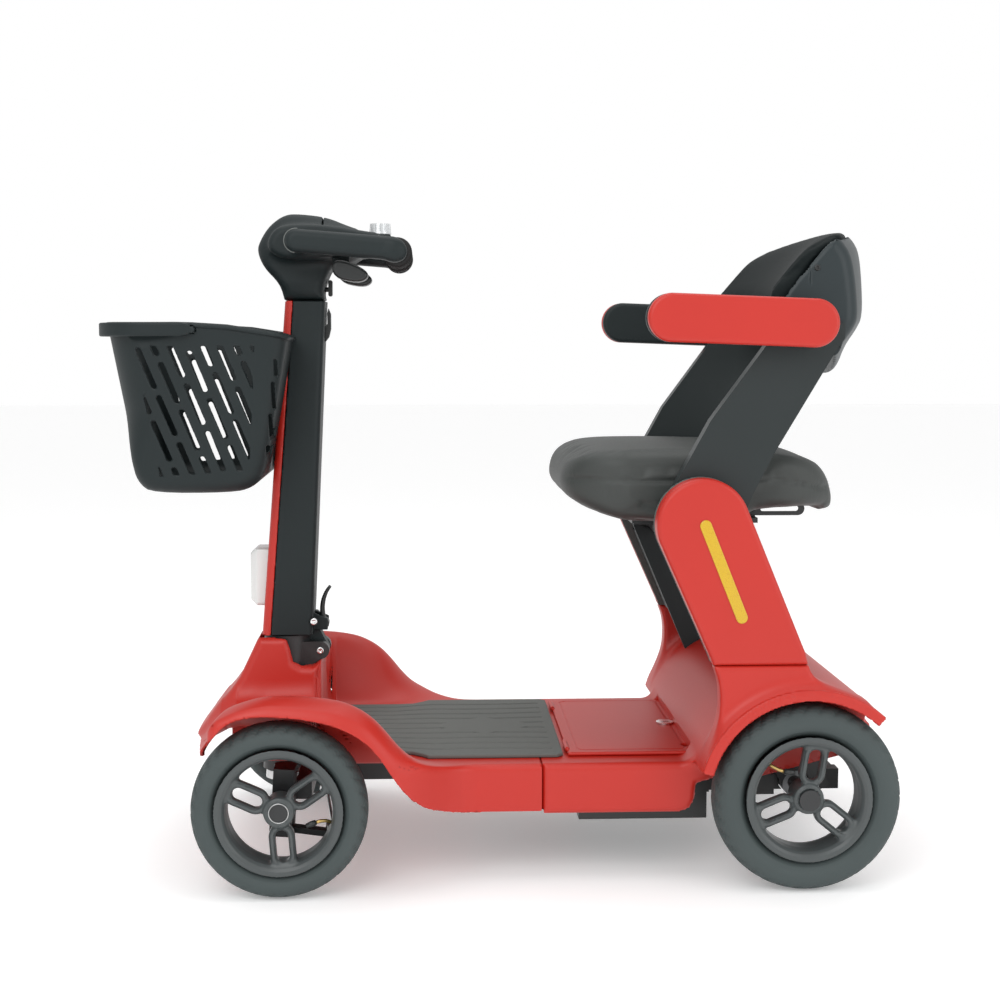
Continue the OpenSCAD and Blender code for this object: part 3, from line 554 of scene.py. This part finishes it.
# ---------------------------------------------------------------- armrests
for s, side, b in ((1, "left", "armrest_l"), (-1, "right", "armrest_r")):
    f = lambda x, y, z: rmax(stad(x, z, 162, 652.5, 3, 646.5, 27), np.abs(y - 235.3) - 7.7, 5)
    t = solid(f, (-28, 224, 614), (194, 247, 684), 2)
    add("armrest_outer_" + side, t if s > 0 else mirror(t), RED, b, ["armrest_cover_" + side])
    f = lambda x, y, z: rmax(stad(x, z, 162, 652.5, 3, 646.5, 25.8), np.abs(y - 226.6) - 1.2, .5)
    t = solid(f, (-28, 223, 614), (194, 230, 684), 1.5)
    add("armrest_seam_" + side, t if s > 0 else mirror(t), SEAM, b)
    f = lambda x, y, z: np.minimum(rmax(stad(x, z, 162, 652.5, 3, 646.5, 27), np.abs(y - 218.6) - 7.4, 5), np.maximum(np.hypot(x - 8, z - 634) - 7, np.abs(y - 196) - 16))
    t = solid(f, (-28, 176, 614), (194, 230, 684), 2)
    add("armrest_inner_half_" + side, t if s > 0 else mirror(t), DARK, b, ["armrest_inner_" + side])

# ---------------------------------------------------------------- seat
SEATP = soft([(281, 462), (270, 484), (240, 498), (150, 500), (40, 497), (-20, 489), (-44, 470), (-60, 446), (-57, 425), (-42, 425), (-31, 436), (50, 436),
              (62, 418.8), (190, 419.5), (236, 430.5), (272, 446)], 2)


def plan(x, a):
    """Distance to the outline of the seat seen from above."""
    c = 82
    qx = np.where(x > 116, x - (280 - c), (-57 + c) - x)
    qa = a - (163 - c)
    return np.minimum(np.maximum(qx, qa), 0) + np.hypot(np.maximum(qx, 0), np.maximum(qa, 0)) - c


def seat(x, a, z):
    d = poly(x, z - 5 * (1 - (a / 163) ** 2) * step((z - 440) / 60) + 2, SEATP)
    e = plan(x, a)
    b = rmax(d, e, 15)
    groove = np.hypot(e + 1.0, z - (466 - 16 * step((40 - x) / 110))) - 2.0
    return smax(b, -groove, 2.5)


def cloth(o, cap, pressure=4.0, frames=20):
    """Inflates the piece a little as a sewn cover over foam; no point travels further than cap metres."""
    me = o.data
    n = len(me.vertices)
    rest = np.empty(n * 3, np.float32)
    me.vertices.foreach_get("co", rest)
    rest = rest.reshape(-1, 3).copy()
    m = o.modifiers.new("cloth", "CLOTH")
    m.settings.use_pressure = True
    m.settings.uniform_pressure_force = pressure
    m.settings.effector_weights.gravity = 0
    m.settings.tension_stiffness = 20
    m.settings.compression_stiffness = 20
    m.settings.quality = 4
    sc = bpy.context.scene
    for k in range(1, frames + 1):
        sc.frame_set(k)
    dg = bpy.context.evaluated_depsgraph_get()
    ev = o.evaluated_get(dg)
    co = np.empty(n * 3, np.float32)
    ev.data.vertices.foreach_get("co", co)
    co = co.reshape(-1, 3).copy()
    o.modifiers.remove(m)
    sc.frame_set(1)
    d = co - rest
    L = np.linalg.norm(d, axis=1, keepdims=True)
    d *= np.minimum(1, cap / np.maximum(L, 1e-9))
    me.vertices.foreach_set("co", (rest + d).ravel())
    me.update()


t = solid(seat, (-74, 0, 408), (294, 172, 512), 4, True)
o = add("seat_cushion_cover", (t[0], t[1], None), VINYL, "chassis", ["seat_cushion"])
cloth(o, .0025)
sub = o.modifiers.new("smooth", "SUBSURF")
sub.levels = sub.render_levels = 1

# ---------------------------------------------------------------- backrest: pad, rear shell, arms
PAD0 = soft([(-74, 760), (-52, 757), (-36, 748), (-25, 737), (-7, 714), (8, 692), (13, 676), (8, 662), (-8, 653), (-22, 655), (-36, 690), (-58, 726), (-80, 750)], 2)
PAD1 = soft([(-28, 749), (-18, 746), (-6, 738), (12, 723), (26, 706), (40, 690), (49, 676), (46, 663), (30, 652), (14, 655), (4, 690), (-14, 719), (-33, 740)], 2)
SHL0 = soft([(-77, 755), (-86, 748), (-93, 734), (-96, 700), (-97, 656), (-87, 639), (-74, 620), (-63, 586), (-54, 588), (-42, 622), (-28, 649), (-12, 652), (-4, 664),
             (-8, 678), (-22, 700), (-40, 728), (-60, 747)], 2)
SHL1 = soft([(-29, 744), (-35, 738), (-45, 724), (-51, 696), (-55, 656), (-52, 643), (-38, 624), (-33, 616), (-28, 614), (-18, 628), (2, 649), (18, 650.5), (36, 660),
             (34, 674), (20, 695), (0, 717), (-17, 737)], 2)


def bw(a):
    return np.clip(a / 192, 0, 1.02) ** 2


def pad(x, a, z):
    d = polyv(x, z, bw(a), PAD0, PAD1)
    b = rmax(d, a - 189, 14 + 14 * step((z - 676) / 45))
    g = np.hypot(a - 174, d + .5) - 2.0
    return smax(b, -g, 3)


def bshell(x, a, z):
    d = polyv(x, z, bw(a), SHL0, SHL1)
    b = rmax(d, a - 195, 11)
    room = rmax(polyv(x, z, bw(a), PAD0, PAD1) - 1.2, a - 190.5, 10)
    inner = rmax(d + 5.5, a - 189, 6)
    b = np.maximum(b, -np.minimum(room, np.maximum(inner, -1e3)))
    groove = np.hypot(x + 2.6 + (z - 720) * .06, a - 195) - 1.2
    b = smax(b, -np.maximum(groove, 690 - z), .8)
    bottom = np.maximum(np.maximum(poly(x, z, [(-52, 560), (-52, 600), (-20, 652), (60, 652), (60, 560)]), a - 300), -1e3)
    b = np.maximum(b, -np.maximum(bottom, np.abs(a - 189.5) - 12.5))
    return np.maximum(b, -(np.hypot(x + 24, z - 634) - 9.5))


t = solid(pad, (-90, 0, 640), (60, 200, 776), 4, True)
o = add("backrest_pad_cover", (t[0], t[1], None), PADM, "backrest", ["backrest_pad"])
cloth(o, .002)
sub = o.modifiers.new("smooth", "SUBSURF")
sub.levels = sub.render_levels = 1
add("backrest_rear_shell", solid(bshell, (-118, 0, 578), (50, 204, 776), 2.7, True), SHELLP, "backrest", ["backrest_shell"])

# screws in the side of the rear shell
for k, (x0, z0) in enumerate(((-8, 709), (-30, 628))):
    f = lambda x, y, z: np.maximum(rmax(np.hypot(x - x0, z - z0) - 3.6, np.abs(y - 194) - 2.4, 1.2), -np.maximum(np.hypot(x - x0, z - z0) - 1.5, 195.4 - y))
    t = solid(f, (x0 - 6, 188, z0 - 6), (x0 + 6, 200, z0 + 6), .8)
    for s, side in ((1, "left"), (-1, "right")):
        add("shell_screw_%d_%s" % (k, side), t if s > 0 else mirror(t), BLACK, "backrest", ["shell_screws"] if s > 0 and k == 0 else [])

# ---------------------------------------------------------------- post and its red cover
POSTP = [(636, 265.2), (603, 675.5), (554.6, 675.5), (574.1, 265.2)]


def post(x, a, z):
    return np.maximum(np.maximum(rmax(poly(x, z, [(654, 40), (585, 900), (543.8, 900), (585, 40)]), a - 33, 8), 265.3 - z), z - 675.6)


def edge(x, z):
    return (x - (625 - (z - 265) * 32 / 410)) * .997


lamp_room = lambda x, a, z: bx(x, a, z, (605, -22, 299.5), (680, 22, 374.5), 1)
tongue = lambda x, a, z: np.maximum(np.minimum(stad(x, z, 565, 245, 577, 268, 10), 1e3), a - 11.4)
add("post_front", solid(lambda x, a, z: np.maximum(np.maximum(post(x, a, z), -edge(x, z) + .4), -lamp_room(x, a, z)), (580, 0, 258), (646, 40, 684), 2.2, True),
    RED, "tiller", ["tiller_front_cover"])


def post_back(x, a, z):
    b = np.maximum(np.maximum(post(x, a, z), edge(x, z)), -lamp_room(x, a, z))
    room = np.maximum(np.maximum(post(x, a, z) + 5, edge(x, z) + 4), z - 655)
    b = np.maximum(b, -np.maximum(room, 274 - z))
    b = np.minimum(b, np.minimum(tongue(x, a, z), np.maximum(poly(x, z, [(556, 269), (556, 283), (573, 290), (574, 269)]), np.abs(a - 11.7) - 2.3)))
    b = np.maximum(b, -np.maximum(np.hypot(x - 565, z - 245) - 5.06, a - 30))
    return np.minimum(b, np.maximum(np.hypot(x - 562, z - 276) - 3, a - 12))


add("post_rear", solid(post_back, (548, 0, 230), (640, 40, 684), 1.8, True), DARK, "tiller", ["tiller_post"])
add("headlight_lens", solid(lambda x, a, z: smin(bx(x, a, z, (618, -21, 301), (646, 21, 373), 5), bx(x, a, z, (640, -17.5, 305), (650.5, 17.5, 369), 5), 3), (614, 0, 296), (656, 26, 378), 1.2, True), LENS, "tiller", ["headlight"])

# ---------------------------------------------------------------- console, loop, grips, paddles
HEAD = soft([(604, 676.4), (609, 696), (628, 715), (636, 735), (632, 748), (620, 766), (602, 779), (583, 779.6), (550, 775.5), (528, 764), (514, 757), (514, 722), (546, 717),
             (554, 700), (557, 684), (555, 676.4)], 2, keep=(0, 15))
DASH = soft([(622, 735), (616, 756), (598, 766), (550, 765), (504, 757), (486, 755), (484, 734), (540, 726), (598, 722)], 2)


def console(x, a, z):
    h = rmax(poly(x, z, HEAD), a - (38 - 4 * step((700 - z) / 20)), 12)
    d = rmax(poly(x, z, DASH), a - 70, 9)
    b = smin(h, d, 14)
    b = smin(b, bx(x, a, z, (474, -22, 733), (505, 22, 756.8), 4), 6)
    b = smin(b, np.maximum(np.hypot(x - 580, z - 742) - 12, a - 90), 8)
    b = np.minimum(b, bx(x, a, z, (524, 40, 712), (544, 55, 738), 2))
    panel = np.maximum(np.abs(bx(x, a, z, (509, -60, 740), (556, 60, 790), 6)) - .7, 755 - z)
    b = smax(b, -panel, 1.2)
    b = np.maximum(b, -np.minimum(np.maximum(np.hypot(x - 488, a) - 4.3, 744 - z), np.maximum(np.hypot(x - 534, z - 719) - 4.3, a - 60)))
    return np.maximum(b, -np.maximum(np.hypot(a, z - 690) - 3.3, x - 564))


def console_full(x, y, z):
    b = console(x, np.abs(y), z)
    return np.maximum(b, -np.maximum(np.hypot(x - 530, y + 50) - 5.3, 749 - z))


add("console_body", solid(console_full, (466, -96, 670), (642, 96, 786), 2.0), DARK, "tiller", ["console_housing"])


def loop(x, a, z):
    arm = rmax(stad(x, z, 583, 743, 474, 734.5, 13.6) + 0 * a, np.abs(a - 102.6) - 12.4, 9)
    bend = rmax(np.hypot(x - 466, z - 731) - 11.5, np.abs(a - 97) - 14, 5)
    rod = np.maximum(np.hypot(x - 466, z - 731) - 9, np.abs(a - 60) - 38)
    return smin(smin(arm, bend, 10), rod, 3)


add("handle_loop_body", solid(loop, (446, 0, 712), (602, 120, 762), 2, True), DARK, "tiller", ["handle_loop"])
for s, side in ((1, "left"), (-1, "right")):
    ring = [(583 + 13.9 * math.cos(math.radians(a)), s * 108, 743 + 13.9 * math.sin(math.radians(a))) for a in range(-82, 100, 6)]
    add_tube("loop_seam_" + side, ring, .7, SEAM, "tiller", n=6)
    prof = [(9.3, 23), (13, 23), (16, 24)]
    for k in range(13):
        y = 26 + k * 4.8
        prof += [(16.1, y), (17.6, y + .9), (17.6, y + 2.4), (16.1, y + 3.3)]
    prof += [(16, 89), (13, 89.5), (9.3, 89.5)]
    t = lathe(466, 731, prof, 0, s, 48)
    add("grip_" + side, t, GRIP, "tiller", ["hand_grips"] if s > 0 else [])

PADL = soft([(543, 722), (526, 722), (501, 709.5), (500.5, 700), (513, 695), (542, 701.5)], 2)


def paddles(x, a, z):
    return np.minimum(rmax(poly(x, z, PADL), np.abs(a - 72.5) - 15.5, 4), np.maximum(np.hypot(x - 534, z - 719) - 4, a - 58))


add("throttle_levers", solid(paddles, (494, 0, 690), (550, 92, 728), 1.6, True), BLACK, "throttle", ["throttle_paddle"])

# fold lever with its bent tip and clamp
lev = [(562, 0, 276), (563, 0, 286), (563.5, 0, 296), (562, 0, 306), (558.5, 0, 315), (553.5, 0, 322)]
lp = np.array(lev)
tt = np.linspace(0, 5, 26)
lp = np.stack([np.interp(tt, range(6), lp[:, i]) for i in range(3)], 1)
for _ in range(3):
    lp[1:-1] = (lp[:-2] + 2 * lp[1:-1] + lp[2:]) / 4
for s in (1, -1):
    add_tube("lever_rod_" + ("left" if s > 0 else "right"), lp + np.array([0, 3.2 * s, 0]), np.interp(tt, [0, 3, 5], [3.2, 2.8, 1.9]), BLACK, "lever",
             ["fold_lever"] if s > 0 else [])
add("lever_hub", solid(lambda x, a, z: np.maximum(rmax(np.hypot(x - 562, z - 276) - 7.2, a - 9, 1.5), -(np.hypot(x - 562, z - 276) - 3.05)), (550, 0, 264), (574, 12, 288), 1.2, True),
    BLACK, "lever")

# ---------------------------------------------------------------- basket
BP = soft([(804, 660), (804, 648.5), (776, 479), (769, 460), (754, 449), (662, 449), (636, 455), (620, 474), (592, 632), (589, 660)], 2, keep=(0, 1, 8, 9))
RIMX, RIMZ = [560, 592, 600, 660, 700, 720, 820], [633, 633, 636, 645.5, 648, 648.5, 648.5]
SL = []
ca, sa = math.cos(math.radians(21.6)), math.sin(math.radians(21.6))
for col in range(-5, 9):
    for row in range(-3, 4):
        SL.append((col * 17.6 - 4, (42 if col % 2 else 8) + row * 58.8, 50.4))
AREA = [(768, 621), (630, 621), (639, 477), (742, 470)]


def basket(x, a, z):
    hw = 119 + (np.clip(z, 430, 662) - 440) * 26 / 220
    d = poly(x, z, BP)
    rc = 34 * step((x - 690) / 70) * step((z - 480) / 70)
    O = rmax(d, (a - hw) * .993, 17 + rc)
    I = rmax(d + 4.2, (a - hw + 4.2) * .993, 13 + rc)
    notch = rmax(poly(x, z, [(540, 400), (639.5 - 7.5 + 0, 400), (607.8, 720), (540, 720)]), a - 40, 4)
    I2 = np.maximum(I, -(notch - 4.2))
    b = np.maximum(np.maximum(O, -notch), -I2)
    rim = np.interp(x, RIMX, RIMZ)
    b = np.maximum(b, z - rim)
    # rolled rim
    roll = np.hypot(np.maximum(np.abs(O + 1.2) - 1.5, 0), z - rim + 3.2) - 2.6
    b = smin(b, np.maximum(roll, -notch), 2)
    # slanted slots through the sides, upright slots in the rear corners
    u = (x - 700) * ca + (z - 545) * -sa
    w = (x - 700) * sa + (z - 545) * ca
    s = None
    for cu, cw, ln in SL:
        q = np.hypot(u - cu, np.maximum(np.abs(w - cw) - ln / 2 + 3.1, 0)) - 3.15
        s = q if s is None else np.minimum(s, q)
    s = smax(s, poly(x, z, AREA), 2)
    s = np.maximum(s, 60 - a)
    v = None
    for k, (z0, z1) in enumerate([(586, 606), (548, 580), (512, 543), (474, 506)]):
        q = np.hypot(x - (605 + (606 - (z0 + z1) / 2) * .115), np.maximum(np.abs(z - (z0 + z1) / 2) - (z1 - z0) / 2 + 2, 0)) - 1.6
        v = q if v is None else np.minimum(v, q)
    v = np.maximum(v, 60 - a)
    b = smax(b, -np.minimum(s, v), 1.0)
    return np.maximum(b, -np.maximum(np.hypot(x - 700, z - 639.5) - 4.3, a - 200))


add("basket_body", solid(basket, (584, 0, 442), (812, 152, 654), 2.1, True), DARK, "basket_body", ["basket"])


def bhandle(x, a, z):
    out = np.maximum(rmax(x - 813, a - 151, 56), rmax(692 - x, a - 151, 22))
    inn = np.maximum(rmax(x - 806.5, a - 146, 51), 600 - x)
    band = np.maximum(out, -inn)
    band = rmax(band, np.abs(z - 640) - (8 - np.clip((712 - x) / 5, 0, 3)), 2.2)
    return np.minimum(band, np.maximum(np.hypot(x - 700, z - 639.5) - 4, np.abs(a - 142) - 6))


add("basket_carry_band", solid(bhandle, (686, 0, 626), (818, 156, 654), 1.8, True), DARK, "handle_body", ["basket_handle"])


# ---------------------------------------------------------------- mat, hatch
def matf(x, a, z):
    out = poly(x, a, [(273, -20), (273, 143), (280, 150), (432, 150), (440, 140), (452, 130), (470, 127), (555, 127), (561, 121), (561, -20)])
    b = rmax(out + 0 * z, np.abs(z - 140.65) - 2.4, 1.2)
    c = a * 138 / np.interp(x, [273, 425, 475, 562], [150, 150, 129, 129]) + 3 * np.sin((x - 300) / 42)
    ph = np.mod(c, 25.0) - 12.5
    ph = np.where((c > 128) | (c < 2) | (np.abs(x - 362) / 70 + a / 44 < 1), 12, ph)
    ph = np.hypot(ph, np.maximum(np.abs(x - 418) - 131, 0))
    g = np.hypot(ph, z - 143.8) - 3.0
    return smax(b, -g, 1.0)


add("mat_surface", solid(matf, (268, 0, 134), (566, 154, 148), 1.5, True), MAT, "chassis", ["floor_mat"])


def hatch(x, y, z):
    b = bx(x, y, z, (113, -145, 138.25), (267, 145, 142.9), 1.9)
    b = np.minimum(b, np.maximum(np.hypot(x - 267, z - 143) - 2.8, np.abs(np.abs(y) - 110) - 20))
    groove = np.abs(bx(x, y, z, (125, -133, 130), (255, 133, 160), 10)) - .8
    b = smax(b, -np.maximum(groove, 142 - z), .8)
    b = np.maximum(b, -(np.hypot(x - 131, y) - 9.3))
    return np.maximum(b, -(np.hypot(x - 121, y - 112) - 7))


add("hatch_panel", solid(hatch, (108, -150, 134), (275, 150, 149), 1.8), RED, "hatch", ["battery_hatch"])


# ---------------------------------------------------------------- wheels
def tyre_prof(R):
    pts = []
    n = 96
    rb = 70
    c, h = (R + rb) / 2, (R - rb) / 2
    for i in range(n):
        a = 2 * math.pi * i / n
        s = abs(math.sin(a)) ** .8 * math.copysign(1, math.sin(a))
        k = abs(math.cos(a)) ** .8 * math.copysign(1, math.cos(a))
        pts.append((c + h * k, 24.9 * s * (1 + .12 * k if k < 0 else 1)))
    return pts


def tread(R):
    def f(a, r, y):
        k = np.clip((r - (R - 13)) / 9, 0, 1)
        sh = (np.abs(y) > 9) & (np.abs(y) < 24.5)
        phase = a * 36 / (2 * math.pi) + np.abs(y) * .045
        sipe = (np.abs(np.mod(phase, 1) - .5) < .10) & sh
        ring = np.exp(-((np.abs(y) - 7.5) / .9) ** 2)
        side = np.exp(-((r - (R - 15.5)) / .8) ** 2) * (np.abs(y) > 15)
        side2 = np.exp(-((r - 79.5) / .7) ** 2) * (np.abs(y) > 15)
        return -1.7 * k * (sipe | (np.mod(phase * 2 + .5, 1) < .07) & sh) - 1.6 * k * ring - .9 * side - .7 * side2
    return f


def rim_sdf(R, bore):
    def f(x, y, z):
        # x, z in the wheel plane, y outwards from the middle plane
        r = np.hypot(x, z)
        a = np.arctan2(z, x)
        barrel = poly(r, y, soft([(68.8, -20), (72.6, -22), (72.8, -24.3), (66, -24.3), (59.5, -16), (59.5, 16), (65, 24.3), (72.8, 24.3), (72.6, 22), (68.8, 20), (63.6, 14),
                                   (63.6, -14)], 1))
        barrel = np.where(r > 76, np.maximum(barrel, 1), barrel)
        k = np.mod(a + math.pi / 3, 2 * math.pi / 3) - math.pi / 3
        u, v = r * np.cos(k), r * np.sin(k)
        yc = 10 + 2.0 * (r / 60) ** 2
        sp = rmax(stad(u, v, 28.5, 0, 51, 0, 14.6), np.abs(y - yc) - 6.2, 3.2)
        link = stad(u, v, 28.5, 0, 50, 0, 7.3)
        sp = smax(sp, -link, 3)
        rib = rmax(np.abs(stad(u, v, 28.5, 0, 50.5, 0, 10.8)) - 2.0, np.abs(y - yc - 6.2) - 1.2, 1.0)
        hub = rmax(r - 17.5, np.abs(y - 4) - 17, 3)
        cap = rmax(np.abs(r - 13.4) - 1.2, np.abs(y - 20.9) - 1.0, .8)
        b = smin(smin(barrel, sp, 6), hub, 5)
        b = np.minimum(b, np.minimum(rib, cap))
        return np.maximum(b, -(r - bore))
    return f


def put_wheel(t, x, z, ang, s):
    v, q, n = t
    c, d = math.cos(math.radians(ang)), math.sin(math.radians(ang))

    def turn(w):
        return np.stack([w[:, 0] * c - w[:, 2] * d, w[:, 1], w[:, 0] * d + w[:, 2] * c], 1)
    V, Nn = turn(v), turn(n)
    V = V + np.array([x, 215, z])
    return (V, q, Nn) if s > 0 else mirror((V, q, Nn))


RIMF = solid(rim_sdf(100, 10.1), (-77, -28, -77), (77, 28, 77), 1.8)
RIMR = solid(rim_sdf(108, 8.1), (-77, -28, -77), (77, 28, 77), 1.8)
for s, side in ((1, "left"), (-1, "right")):
    for where, x, z, R, ang, rim in (("front", 600, 100, 100, 25, RIMF), ("rear", 0, 108, 108, 99, RIMR)):
        b = "wheel_" + where[0] + side[0]
        t = lathe(x, z, tyre_prof(R), 215, s, 288, tread(R))
        add("tyre_%s_%s_tread" % (where, side), t, TYRE, b, ["tyre_%s_%s" % (where, side)])
        add("rim_%s_%s_cast" % (where, side), put_wheel(rim, x, z, ang, s), RIMM, b, ["rim_%s_%s" % (where, side)])
        # valve: bent brass stem with a black cap, between two spokes
        if where == "front":
            pts = [(-59.5, -16), (-52, -13), (-46, -12.5), (-41, -13.5), (-36, -15), (-30, -17)]
        else:
            pts = [(46.5, 39.5), (40, 35.5), (33, 32), (27, 30.5), (21, 30), (15, 30)]
        stem = [np.array([x + px, (215 + py) * s, z + pz]) for (px, pz), py in zip(pts, (4, 6, 9, 11, 12, 13))]
        add_tube("valve_stem_%s_%s" % (where, side), stem[:4], 2.1, BRASS, b, n=10)
        add_tube("valve_cap_%s_%s" % (where, side), stem[3:], [3.2, 3.4, 2.6], BLACK, b, n=12)
        if where == "front":
            ring = [(x + 11 * math.cos(k * math.pi / 24), (215 + 21.2) * s, z + 11 * math.sin(k * math.pi / 24)) for k in range(50)]
            add_tube("hub_ring_" + side, ring, .65, STEEL, b, n=8)

# screws in the tiller hinge
for i, (x, z) in enumerate(((572, 283), (565, 245))):
    for s in (1, -1):
        add("hinge_screw_%d_%s" % (i, "left" if s > 0 else "right"),
            (lambda t: t if s > 0 else mirror(t))(solid(lambda X, Y, Z: np.maximum(rmax(np.hypot(X - x, Z - z) - 4.4, np.abs(Y - (34.4 if i == 0 else 25)) - 1.6, 1),
                                                                                      -np.maximum(np.hypot(X - x, Z - z) - 1.9, (35 if i == 0 else 25.8) - Y)),
                                                       (x - 6, 20, z - 6), (x + 6, 38, z + 6), .8)), CHROME, "tiller" if i == 0 else "column")

# ---------------------------------------------------------------- stage, light and camera
sc = bpy.context.scene
bpy.ops.mesh.primitive_plane_add(size=30, location=(0, 0, -.0005))
floor = bpy.context.object
floor.name = "floor"
floor.data.materials.append(material("floor_white", (.93, .93, .93), .6, bump=.02, vary=.01, wear=0, grain=40, emit=.22))
w = bpy.data.worlds.new("studio")
sc.world = w
w.use_nodes = True
w.node_tree.nodes["Background"].inputs[0].default_value = (1, 1, 1, 1)
w.node_tree.nodes["Background"].inputs[1].default_value = .80
lp_ = w.node_tree.nodes.new("ShaderNodeLightPath")
bg2 = w.node_tree.nodes.new("ShaderNodeBackground")
bg2.inputs[0].default_value = (1, 1, 1, 1)
bg2.inputs[1].default_value = 1.0
mx = w.node_tree.nodes.new("ShaderNodeMixShader")
w.node_tree.links.new(lp_.outputs["Is Camera Ray"], mx.inputs[0])
w.node_tree.links.new(w.node_tree.nodes["Background"].outputs[0], mx.inputs[1])
w.node_tree.links.new(bg2.outputs[0], mx.inputs[2])
w.node_tree.links.new(mx.outputs[0], w.node_tree.nodes["World Output"].inputs[0])


def area(name, loc, target, size, power):
    l = bpy.data.lights.new(name, "AREA")
    l.size = size
    l.energy = power
    o = bpy.data.objects.new(name, l)
    sc.collection.objects.link(o)
    o.location = loc
    o.rotation_euler = (Vector(target) - Vector(loc)).to_track_quat("-Z", "Y").to_euler()


area("key", (.9, 2.2, 2.0), (0, 0, .35), 1.6, 25)
area("fill", (-1.8, 1.6, 1.0), (0, 0, .3), 1.4, 10)
area("overhead", (0, -.2, 2.6), (0, 0, .2), 2.2, 18)

cam = bpy.data.cameras.new("photo_camera")
cam.lens = 58.9
cam.sensor_width = 36
cam.clip_end = 60
co = bpy.data.objects.new("photo_camera", cam)
sc.collection.objects.link(co)
yaw, pitch = -.0463, .0946
fwd = Vector((math.sin(yaw) * math.cos(pitch), -math.cos(yaw) * math.cos(pitch), -math.sin(pitch)))
right = Vector((-math.cos(yaw), -math.sin(yaw), 0))
up = right.cross(fwd)
m = Matrix.Identity(4)
for i in range(3):
    m[i][0], m[i][1], m[i][2] = right[i], up[i], -fwd[i]
m.translation = Vector((.0836, 2.0354, .6225))
co.matrix_world = m
sc.camera = co
sc.view_settings.view_transform = "Standard"
